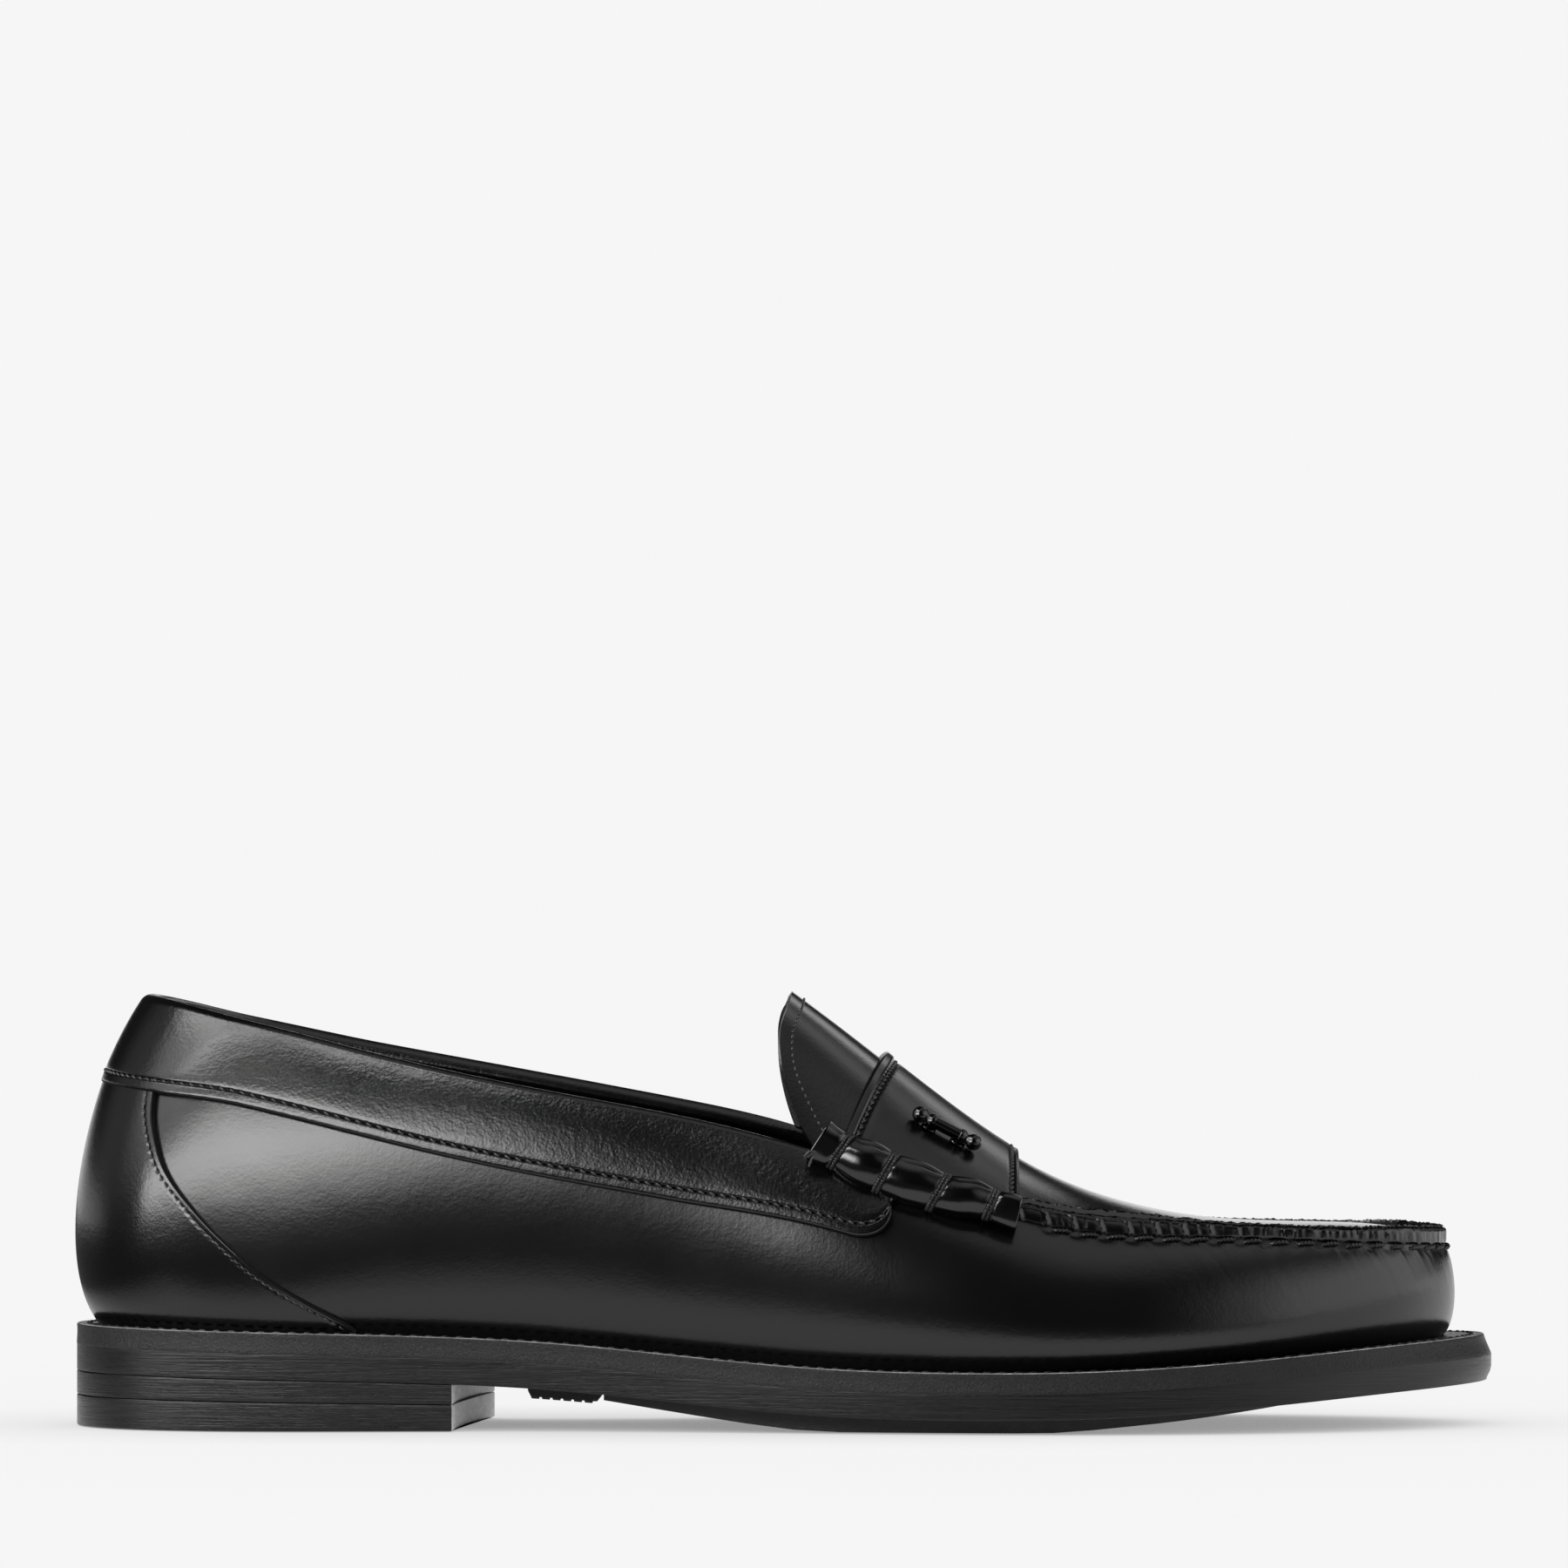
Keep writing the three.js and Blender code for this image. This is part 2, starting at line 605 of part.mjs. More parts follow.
function addLinings() {
  const joint = column(6);
  const low = () => 0.05;
  const quarter = wallLayer({ from: -joint, to: joint, low, high: () => 0.985, depth: INSIDE });
  add("quarter_lining", quarter, MATERIALS.lining);
  const [from, to] = [joint + 0.1, COLUMNS - joint - 0.1];
  const vamp = wallLayer({ from, to, low, high: () => 0.84, rows: 5, depth: INSIDE });
  add("vamp_lining", vamp, MATERIALS.lining);
  const puff = wallLayer({
    from: column(TOE - 2.7),
    to: column(TOE + 2.7),
    low: () => 0.08,
    high: () => 0.84,
    rows: 5,
    depth: MIDDLE,
  });
  add("toe_puff", puff, MATERIALS.fibre);
}

function addInstep() {
  const apron = (i, j, out) => instep(i, mix(-1, 1, j), out);
  add("apron_and_tongue", layer(24, 12, apron, 0, -LEATHER), MATERIALS.boxCalf);
  const lining = (i, j, out) => instep(mix(0.01, 0.93, i), mix(-0.9, 0.9, j), out);
  const liningDepth = [-LEATHER - GAP - 0.1, -LEATHER - GAP - LINING];
  add("tongue_lining", layer(18, 10, lining, ...liningDepth), MATERIALS.lining);

  const hem = range(24, (i) => {
    const v = mix(-0.86, 0.86, i / 23);
    return instep(rAtX(tongueEdgeX(v) + 3, v), v, GAP + THREAD / 2);
  });
  add("tongue_thread", thread(hem, THREAD, 4, 26), MATERIALS.thread);
}

// x of the saddle strap's back and front edges across the instep.
const strapBack = (v) => 22 - 10 * v ** 2;
const strapFront = () => 48.9;
const STRAP = [0.4 + 1.5, 0.4]; // outer and inner distance of the strap from the instep skin
const STRAP_REACH = 0.9; // the strap ends here, in v, where the rolls take over

function addSaddle() {
  const at = (i, j, out) => {
    const v = mix(-STRAP_REACH, STRAP_REACH, j);
    return instep(mix(rAtX(strapBack(v), v), rAtX(strapFront(v), v), i), v, out);
  };
  const body = layer(5, 14, at, ...STRAP);

  // The ornament is a bar with ball ends, held by two posts through the strap.
  const ornament = {
    x: 31.6,
    v: -0.6,
    reach: 4.6,
    lift: 1.9,
    post: 0.8,
    ball: 1.7,
    bar: 1.0,
    collar: 1.9,
  };
  const r = rAtX(ornament.x, ornament.v);
  const seat = instep(r, ornament.v, 0);
  const up = instep(r, ornament.v, 1).sub(seat);
  const ahead = instep(r + 0.02, ornament.v, 0).sub(seat).normalize();
  const place = (geometry, along, height) => {
    // The geometry's own Y axis is turned along the post.
    const turn = new THREE.Quaternion().setFromUnitVectors(new THREE.Vector3(0, 1, 0), up);
    const spot = seat.clone().addScaledVector(ahead, along).addScaledVector(up, height);
    return geometry.clone().applyQuaternion(turn).translate(...spot.toArray());
  };
  const postSpan = [0.35, STRAP[0] + ornament.lift - 0.4];
  const postTall = postSpan[1] - postSpan[0];
  const posts = [-1, 1].map((end) => {
    const solid = new THREE.CylinderGeometry(ornament.post, ornament.post, postTall, 10);
    return place(solid, end * ornament.reach, (postSpan[0] + postSpan[1]) / 2);
  });
  const holes = [-1, 1].map((end) => {
    const drill = new THREE.CylinderGeometry(ornament.post + GAP, ornament.post + GAP, 6, 10);
    return place(drill, end * ornament.reach, 1);
  });
  add("saddle_strap", cut(body, ...holes), MATERIALS.boxCalf);
  posts.forEach((post, i) => add(`ornament_post_${i + 1}`, post, MATERIALS.gunmetal));

  const ball = (centre) =>
    range(7, (i) => {
      const turn = (Math.PI * (i + 0.5)) / 7;
      const [radius, along] = [Math.sin(turn), -Math.cos(turn)];
      return new THREE.Vector2(ornament.ball * radius, centre + ornament.ball * along);
    });
  const half = 6.4;
  const bar = [
    new THREE.Vector2(0, -half - ornament.ball),
    ...ball(-half),
    new THREE.Vector2(ornament.bar, -half + ornament.ball + 0.3),
    new THREE.Vector2(ornament.bar, -1.4),
    new THREE.Vector2(ornament.collar, -0.9),
    new THREE.Vector2(ornament.collar, 0.9),
    new THREE.Vector2(ornament.bar, 1.4),
    new THREE.Vector2(ornament.bar, half - ornament.ball - 0.3),
    ...ball(half),
    new THREE.Vector2(0, half + ornament.ball),
  ];
  const lathe = new THREE.LatheGeometry(bar, 12);
  const lie = new THREE.Quaternion().setFromUnitVectors(new THREE.Vector3(0, 1, 0), ahead);
  const height = postSpan[1] + GAP + ornament.ball;
  const spot = seat.clone().addScaledVector(up, height);
  add("ornament_bar", lathe.applyQuaternion(lie).translate(...spot.toArray()), MATERIALS.gunmetal);

  for (const [name, edge, shift] of [["back", strapBack, 1.9], ["front", strapFront, -1.6]]) {
    const line = range(20, (i) => {
      const v = mix(-0.84, 0.84, i / 19);
      return instep(rAtX(edge(v) + shift, v), v, STRAP[0] + GAP + THREAD / 2);
    });
    add(`strap_thread_${name}`, thread(line, THREAD, 4, 24), MATERIALS.thread);
  }
}

// ---------------------------------------------------------------- beef rolls and their wraps

// The roll's radius along its length: fat between the wraps and pinched under them.
function rollRadius(s) {
  const taper = mix(ROLL_RADIUS, ROLL_RADIUS * 0.8, s);
  const pinch = Math.max(...WRAPS.map((w) => Math.exp(-(((s - w) / 0.035) ** 2))));
  return taper * (1 - 0.16 * pinch);
}

function rollFrame(side, s) {
  const x = mix(ROLL_FROM, ROLL_TO, s);
  const u = uAtX(upperEdge, side, x);
  const out = outward(u);
  const centre = upperEdge(u).addScaledVector(out, mix(3.6, 4.2, s));
  centre.z += mix(4.2, 3, s);
  return { centre, out };
}

function rollRing(side, s, radius, sides) {
  const { centre, out } = rollFrame(side, s);
  return range(sides, (i) => {
    const turn = (2 * Math.PI * (i + 0.5)) / sides;
    const point = centre.clone().addScaledVector(out, Math.cos(turn) * radius);
    point.z += Math.sin(turn) * radius;
    return point;
  });
}

function addRolls() {
  for (const [name, side] of [["outer", -1], ["inner", 1]]) {
    const rings = range(26, (i) => rollRing(side, i / 25, rollRadius(i / 25) - GAP, 10));
    add(`beef_roll_${name}`, loft(rings), MATERIALS.boxCalf);
    WRAPS.forEach((place, k) => {
      // A wrap is a band of thread round the pinched roll, 1.6 mm wide.
      const half = 0.8 / (ROLL_TO - ROLL_FROM);
      const inside = rollRadius(place) + 0.15;
      const sections = [
        rollRing(side, place - half, inside, 10),
        rollRing(side, place - half, inside + CORD, 10),
        rollRing(side, place + half, inside + CORD, 10),
        rollRing(side, place + half, inside, 10),
      ];
      const rings = range(10, (i) => sections.map((ring) => ring[i]));
      add(`roll_wrap_${name}_${k + 1}`, loft(rings, true), MATERIALS.thread);
    });
  }
}

function addApronThread() {
  const [from, to] = [column(7), COLUMNS - column(6.4)];
  const line = range(2 * (to - from) + 1, (i) => wall((from + i / 2) / COLUMNS, 0.985, GAP + CORD / 2));
  add("apron_thread", thread(line, CORD, 5, 2 * (to - from)), MATERIALS.thread);
}

addSole();
addWall();
addHeelCounter();
addCollar();
addLinings();
addInstep();
addSaddle();
addRolls();
addApronThread();

export default loafer;
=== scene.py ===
"""The looks of a black penny loafer with beef rolls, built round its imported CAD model.

Lengths are in millimetres, turned into metres where a mesh is made. +X points to the toe,
-Y to the outer side of the foot and +Z up, as in the frame. Every leather of the upper is
a layer of one of two skins: the side wall, and the instep that closes the front.
"""

import math

import bmesh
import bpy
import numpy as np
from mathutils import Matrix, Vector


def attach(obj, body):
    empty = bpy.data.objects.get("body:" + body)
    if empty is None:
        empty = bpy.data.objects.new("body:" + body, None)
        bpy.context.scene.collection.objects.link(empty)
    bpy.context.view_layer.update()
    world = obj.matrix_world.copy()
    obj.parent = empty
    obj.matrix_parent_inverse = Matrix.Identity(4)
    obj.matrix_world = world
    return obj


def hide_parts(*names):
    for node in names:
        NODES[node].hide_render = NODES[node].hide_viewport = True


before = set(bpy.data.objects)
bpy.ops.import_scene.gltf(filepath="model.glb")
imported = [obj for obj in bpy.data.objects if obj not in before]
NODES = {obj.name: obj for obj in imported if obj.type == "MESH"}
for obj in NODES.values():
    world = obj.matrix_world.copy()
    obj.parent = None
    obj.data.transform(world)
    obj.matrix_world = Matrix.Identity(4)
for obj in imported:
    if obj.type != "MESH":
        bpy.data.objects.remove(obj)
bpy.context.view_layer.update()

MM = 0.001

# ---------------------------------------------------------------- driving dimensions

# Stations round the shoe from the back of the heel along the outer side to the toe and home
# along the inner side: sole x, y; ledge; the wall's upper edge x, y, z; swell low and high.
STATIONS = np.array([
    (-150, 0, 6.0, -134.6, 0, 90.4, 10.2, 12.5),
    (-141.5, -23.5, 6.0, -128, -16.5, 89, 9.3, 11.5),
    (-117, -36.5, 5.6, -111, -26, 85.3, 7.5, 9),
    (-84, -37, 5.0, -82, -30.5, 78.2, 6.5, 7.5),
    (-49, -37, 4.8, -50, -33, 71.4, 6, 6.5),
    (-12, -42, 5.0, -15, -34.5, 64.6, 5.5, 7.5),
    (25, -50, 5.4, 20, -37.5, 54.3, 5.5, 10),
    (61, -53, 5.6, 55, -39, 42.9, 5.5, 10),
    (96, -48, 6.4, 89, -36.5, 40.4, 5, 8.5),
    (123, -36, 8.0, 117, -27.5, 39.15, 4, 6),
    (142, -17.5, 9.4, 134, -13.5, 38.3, 3, 3.2),
    (150, 4, 9.8, 140.3, 3.5, 37.9, 2.6, 2.4),
    (145.5, 24, 9.2, 136.5, 18.5, 38.4, 3, 3.2),
    (130, 39.5, 7.8, 123, 30, 38.9, 4, 6),
    (105, 49, 6.4, 98, 36.5, 39.3, 5, 8.5),
    (74, 53, 5.6, 68, 39, 41.0, 5.5, 10),
    (43, 50.5, 5.4, 38, 38.5, 48, 5.5, 10),
    (9, 40.5, 5.0, 8, 36, 60.5, 6, 8),
    (-27, 33, 4.6, -24, 33.5, 68.6, 7, 6.5),
    (-63, 32, 4.8, -60, 31, 75.4, 7, 6.5),
    (-98, 35.5, 5.2, -95, 28.5, 82, 7, 8),
    (-131, 32, 5.8, -120, 22.5, 87.2, 8, 10.5),
])
TOE = 11  # the station at the toe
WELT_TOP = [(-150, 21.6), (-110, 20.7), (-74, 19.8), (-50, 18.6), (-27, 16.5), (-6, 14.5),
            (15, 13.2), (35, 12.8), (60, 13), (99, 15.3), (124, 17.5), (150, 19.2)]
LIFT_UNDER = [(-150, 6.6), (-60, 5.4)]
CREST = [(-8, 98.4), (1.7, 91.5), (18, 79.2), (36, 65.4), (55, 53.4), (74, 46.6),
         (90, 43.8), (104, 43.0), (118, 42.6), (130, 41.5), (140.3, 39.0)]
COUNTER_EDGE = [(18, -86.5), (22.1, -91), (25, -96.5), (28.3, -102.6), (33, -110), (37.1, -114.6),
                (41.8, -119.6), (46.4, -123.8), (51.1, -127.6), (55.2, -130), (60.4, -131.6),
                (66, -132.4), (74, -131.4), (80, -130.4)]
BREAST = (-69.8, -62.2)  # x of the heel block's front on the outer and the inner side
WELT, OUTSOLE, GAP, LEATHER = 4.6, 5.0, 0.3, 1.3
FEATHER_LIFT = 0.6
SEAM_INSET = 1.7
COLLAR = 17.2  # width of the collar at its front ends; it widens towards the heel
COLLAR_END = 22.7
PITCH = 5.8  # of the hand-sewn apron seam
RIDGE_FROM = 48.5  # the raised seam starts here, under the roll's front end
STRAP_FRONT = 48.9

UP = np.array([0, 0, 1.0])

# ---------------------------------------------------------------- numbers and curves


def smooth(x, low, high):
    t = np.clip((np.asarray(x, float) - low) / (high - low), 0, 1)
    return t * t * (3 - 2 * t)


def unit(v):
    return v / np.maximum(np.linalg.norm(v, axis=-1, keepdims=True), 1e-12)


class Curve:
    """A smooth curve through values at knots, closed if the first value follows the last."""

    def __init__(self, knots, values, closed=False):
        self.k = np.asarray(knots, float)
        v = np.asarray(values, float).reshape(len(values), -1)
        n = len(v)
        h = np.diff(self.k)
        a, r = np.eye(n), np.zeros_like(v)
        for i in range(n) if closed else range(1, n - 1):
            h0, h1, j = h[i - 1], h[i], (i + 1) % n
            a[i, i] = 2 * (h0 + h1)
            a[i, i - 1], a[i, j] = h0, h1
            r[i] = 6 * ((v[j] - v[i]) / h1 - (v[i] - v[i - 1]) / h0)
        self.m = np.linalg.solve(a, r)
        self.v, self.closed = v, closed

    def __call__(self, u):
        u = np.asarray(u, float)
        u = np.mod(u, self.k[-1]) if self.closed else np.clip(u, self.k[0], self.k[-1])
        i = np.clip(np.searchsorted(self.k, u, side="right") - 1, 0, len(self.k) - 2)
        j = (i + 1) % len(self.v)
        h = (self.k[i + 1] - self.k[i])[..., None]
        t = (u - self.k[i])[..., None] / h
        s = 1 - t
        bend = ((s ** 3 - s) * self.m[i] + (t ** 3 - t) * self.m[j]) * h * h / 6
        out = s * self.v[i] + t * self.v[j] + bend
        return out[..., 0] if out.shape[-1] == 1 else out


def profile(pairs):
    return Curve([p[0] for p in pairs], [p[1] for p in pairs])


def chatter(a, seed, step, soft=True):
    """A random value from -1 to 1 that changes over about one step of a."""
    lattice = np.random.default_rng(seed).uniform(-1, 1, 4096)
    x = np.asarray(a, float) / step
    i = np.floor(x).astype(int)
    t = x - i
    t = t * t * (3 - 2 * t) if soft else t
    return (1 - t) * lattice[i % 4096] + t * lattice[(i + 1) % 4096]


def run_length(p):
    """Length along a line of points."""
    return np.concatenate([[0], np.cumsum(np.linalg.norm(np.diff(p, axis=0), axis=1))])


def pick(at, places, values):
    """Points or directions of a line, read at places along it."""
    return np.stack([np.interp(at, places, values[:, k]) for k in range(3)], -1)


weltTop, crest, counterEdge = profile(WELT_TOP), profile(CREST), profile(COUNTER_EDGE)
liftUnder = profile(LIFT_UNDER)
outsoleTop = lambda x: weltTop(x) - WELT - 0.06
outsoleUnder = lambda x: weltTop(x) - WELT - GAP - OUTSOLE

chord = np.linalg.norm(np.diff(np.vstack([STATIONS, STATIONS[:1]])[:, :2], axis=0), axis=1)
KNOTS = np.concatenate([[0], np.cumsum(chord)]) / chord.sum()
U_TOE = KNOTS[TOE]
soleEdge = Curve(KNOTS, STATIONS[:, :2], True)
upperEdge = Curve(KNOTS, STATIONS[:, 3:6], True)
swell = Curve(KNOTS, STATIONS[:, [2, 6, 7]], True)


def plan_out(curve, u):
    """Outward direction in plan of a closed curve."""
    d = curve(np.asarray(u) + 1e-4) - curve(np.asarray(u) - 1e-4)
    return unit(np.stack([d[..., 1], -d[..., 0], np.zeros(d.shape[:-1])], -1))


def outline(u, inset, z=0):
    """The sole's outline moved in by a distance."""
    p = soleEdge(u)
    q = np.concatenate([p, np.zeros(p.shape[:-1] + (1,))], -1)
    q = q - plan_out(soleEdge, u) * np.asarray(inset)[..., None]
    q[..., 2] = z(q[..., 0]) if callable(z) else z
    return q


HALVES = {-1: np.linspace(0, U_TOE, 3001), 1: np.linspace(1, U_TOE, 3001)}


def u_at_x(curve, side, x):
    """u where a closed curve reaches x on the outer (-1) or inner (1) half."""
    u = HALVES[side]
    return np.interp(x, np.maximum.accumulate(curve(u)[:, 0]), u)


FINE = np.linspace(0, 1, 6001)
FINE_ARC = run_length(upperEdge(FINE))


def edge_arc(u):
    """Length along the upper edge from the toe, positive on the inner side."""
    return np.interp(u, FINE, FINE_ARC) - np.interp(U_TOE, FINE, FINE_ARC)


# ---------------------------------------------------------------- the two skins


def wall_skin(u, t):
    """The side wall: t is 0 at the feather line and 1 at the upper edge."""
    out = plan_out(soleEdge, u)
    s = swell(u)
    foot = outline(u, s[..., 0], lambda x: weltTop(x) + FEATHER_LIFT)
    top = upperEdge(u)
    rise = (top - foot)[..., 2:3] * UP
    low = foot + out * s[..., 1:2] + 0.18 * rise
    high = top + out * s[..., 2:3] - 0.28 * rise
    t = t[..., None]
    k = 1 - t
    return k ** 3 * foot + 3 * t * k ** 2 * low + 3 * t * t * k * high + t ** 3 * top


T_TABLE = np.linspace(0, 1, 121)


def lengths(u):
    """Length of the wall from its upper edge down to each t of the table, one row for each u."""
    p = wall_skin(u[:, None], np.broadcast_to(T_TABLE, (len(u), len(T_TABLE))))
    step = np.linalg.norm(np.diff(p, axis=1), axis=2)
    up = np.concatenate([np.zeros((len(u), 1)), np.cumsum(step, axis=1)], 1)
    return up[:, -1:] - up


def wall_at(u, s, d):
    """Points s below the upper edge along the wall and d out from it. Above the edge, and
    below the foot, the wall goes on straight. u is one row; s and d have a row for each u."""
    u = np.asarray(u, float)
    s, d = np.broadcast_arrays(np.asarray(s, float), np.asarray(d, float))
    table = lengths(u)
    t = np.stack([np.interp(s[i], table[i, ::-1], T_TABLE[::-1]) for i in range(len(u))])
    uu = np.broadcast_to(u[:, None], t.shape)
    along = wall_skin(uu + 2e-4, t) - wall_skin(uu - 2e-4, t)
    rise = unit(wall_skin(uu, t + 1e-3) - wall_skin(uu, t - 1e-3))
    normal = unit(np.cross(along, rise))
    over = np.maximum(-s, 0) - np.maximum(s - table[:, :1], 0)
    return wall_skin(uu, t) + normal * d[..., None] + rise * over[..., None], normal


def wall_length(u):
    return lengths(np.asarray(u, float))[:, 0]


XS = np.linspace(-12, 138.4, 1500)
SEAM = {}
for side in (-1, 1):
    line_u = HALVES[side]
    line_p = upperEdge(line_u) - plan_out(upperEdge, line_u) * SEAM_INSET
    SEAM[side] = [np.interp(XS, np.maximum.accumulate(line_p[:, 0]), line_p[:, k]) for k in (1, 2)]


def instep_z(x, y):
    """Height of the instep over a point of the plan, with a crown between the two seams."""
    y0, z0, y1, z1 = [np.interp(x, XS, SEAM[s][k]) for s in (-1, 1) for k in (0, 1)]
    w = (y - y0) / np.maximum(y1 - y0, 0.5)
    v = np.clip(np.abs(2 * w - 1), 0, 1.3)
    middle = (z0 + z1) / 2
    crown = np.maximum(crest(x) - middle, 0)
    return z0 + (z1 - z0) * w + crown * (1 - v ** 2.2)


def instep_normal(x, y):
    e = 0.2
    gx = (instep_z(x + e, y) - instep_z(x - e, y)) / (2 * e)
    gy = (instep_z(x, y + e) - instep_z(x, y - e)) / (2 * e)
    return unit(np.stack([-gx, -gy, np.ones_like(gx)], -1))


def instep_at(x, v, d):
    """Points of the instep: v is -1 on the outer seam and 1 on the inner one, d is out from it."""
    x, v, d = np.broadcast_arrays(*[np.asarray(q, float) for q in (x, v, d)])
    y0, y1 = np.interp(x, XS, SEAM[-1][0]), np.interp(x, XS, SEAM[1][0])
    y = y0 + (y1 - y0) * (v + 1) / 2
    normal = instep_normal(x, y)
    return np.stack([x, y, instep_z(x, y)], -1) + normal * d[..., None], normal


# ---------------------------------------------------------------- meshes


def put(name, points, faces, material, slot, nodes=(), sharp=40):
    """One piece from points in millimetres and faces, with its normals turned outwards."""
    points = np.asarray(points, float).reshape(-1, 3)
    tri = np.concatenate([f[:, [0, i, i + 1]] for f in faces for i in range(1, f.shape[1] - 1)])
    a, b, c = (points[tri[:, k]] for k in range(3))
    if np.einsum("ij,ij->", a, np.cross(b, c)) < 0:
        faces = [f[:, ::-1] for f in faces]
    mesh = bpy.data.meshes.new(name)
    mesh.from_pydata((points * MM).tolist(), [], [q for f in faces for q in f.tolist()])
    mesh.validate()
    mesh.shade_smooth()
    mesh.set_sharp_from_angle(angle=math.radians(sharp))
    obj = bpy.data.objects.new(name, mesh)
    bpy.context.scene.collection.objects.link(obj)
    for m in material if isinstance(material, (list, tuple)) else [material]:
        mesh.materials.append(m)
    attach(obj, "root")
    if nodes:
        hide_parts(*nodes)
    return obj


def quads(n, r, wrap=(False, True), turned=False):
    """Faces over n rows of r points; wrap joins the last row or the last point to the first."""
    i, j = np.meshgrid(np.arange(n - (not wrap[0])), np.arange(r - (not wrap[1])), indexing="ij")
    i, j = i.ravel(), j.ravel()
    k, l = (i + 1) % n, (j + 1) % r
    faces = np.stack([i * r + j, k * r + j, k * r + l, i * r + l], 1)
    return faces[:, [0, 3, 2, 1]] if turned else faces


def rings(name, grid, material, slot, nodes=(), closed=False, sharp=40):
    """Rings of points joined into one piece; open ends are closed from half to half."""
    n, r = grid.shape[:2]
    faces = [quads(n, r, (closed, True))]
    if not closed:
        q, e = np.arange(r // 2 - 1), (n - 1) * r
        faces.append(np.stack([q, q + 1, r - 2 - q, r - 1 - q], 1))
        faces.append(np.stack([e + r - 1 - q, e + r - 2 - q, e + q + 1, e + q], 1))
    return put(name, grid, faces, material, slot, nodes, sharp)


def shell(name, above, below, *rest, **more):
    """A leather between two skins."""
    return rings(name, np.concatenate([above, below[:, ::-1]], 1), *rest, **more)


def mark(obj, r, test, which=1):
    """Give the faces whose column i and row j pass a test another of the object's materials."""
    count = len(obj.data.polygons)
    index = np.zeros(count, np.int32)
    obj.data.polygons.foreach_get("material_index", index)
    k = np.arange(count)
    index[test(k // r, k % r)] = which
    obj.data.polygons.foreach_set("material_index", index)


def rounding(m, r=0.45):
    """How far a surface has risen to its full height, a distance m from its edge."""
    k = np.clip(m / r, 0, 1)
    return np.sqrt(1 - (1 - k) ** 2)


# ---------------------------------------------------------------- threads


class Row:
    """A line on a surface, with the surface's normals, by its length."""

    def __init__(self, points, normals):
        self.p, self.n = points, unit(normals)
        self.a = run_length(self.p)

    def at(self, a):
        """Points at lengths a, with their normals and the directions across the line."""
        ahead = unit(pick(a + 0.05, self.a, self.p) - pick(a - 0.05, self.a, self.p))
        n = pick(a, self.a, self.n)
        n = unit(n - ahead * np.sum(n * ahead, -1, keepdims=True))
        return pick(a, self.a, self.p), n, np.cross(ahead, n)


def tubes(centre, normal, side, radius, sides, ply, lay, arc, closed=False):
    """Tubes along centre (tube, step, 3); ply from 0 to 1 turns them into a twist of two
    strands, once round in each lay of the length arc."""
    off, strand = 0.48, 0.60
    turn = np.linspace(0, 2 * math.pi, sides, endpoint=False)
    phase = turn - (2 * math.pi / lay) * arc[..., None]
    rho = off * np.abs(np.cos(phase)) + np.sqrt(strand ** 2 - (off * np.sin(phase)) ** 2)
    rho = (1 + (rho - 1) * ply) * radius[..., None]
    p = centre[:, :, None] + normal[:, :, None] * (rho * np.sin(turn))[..., None] \
        + side[:, :, None] * (rho * np.cos(turn))[..., None]
    n, k = centre.shape[:2]
    base = np.arange(n)[:, None, None] * k * sides
    faces = [(base + quads(k, sides, (closed, True), not closed)).reshape(-1, 4)]
    if not closed:
        cap = np.arange(sides)
        faces.append(np.concatenate([base[:, 0] + cap[::-1], base[:, 0] + (k - 1) * sides + cap]))
    return p, faces


def stitch_row(name, row, pitch, material, node, long, radius, lift, slant=0.0, ply=0.5):
    """Machine stitches: each lies on the leather and dips into it at both ends."""
    count = max(1, int(row.a[-1] / pitch))
    w = np.linspace(0, 1, 11)
    a = ((np.arange(count) + (1 - long) / 2) * pitch)[:, None] + w * pitch * long
    p, n, b = row.at(a)
    rise = lift + 0.16 - 0.62 * np.abs(2 * w - 1) ** 3
    p = p + n * rise[None, :, None] + b * ((w - 0.5) * slant)[None, :, None]
    size = np.broadcast_to(radius * (1 - 0.45 * np.abs(2 * w - 1) ** 4), a.shape)
    return put(name, *tubes(p, n, b, size, 7, ply, 1.1, a), material, "thread", [node], 60)


# ---------------------------------------------------------------- materials


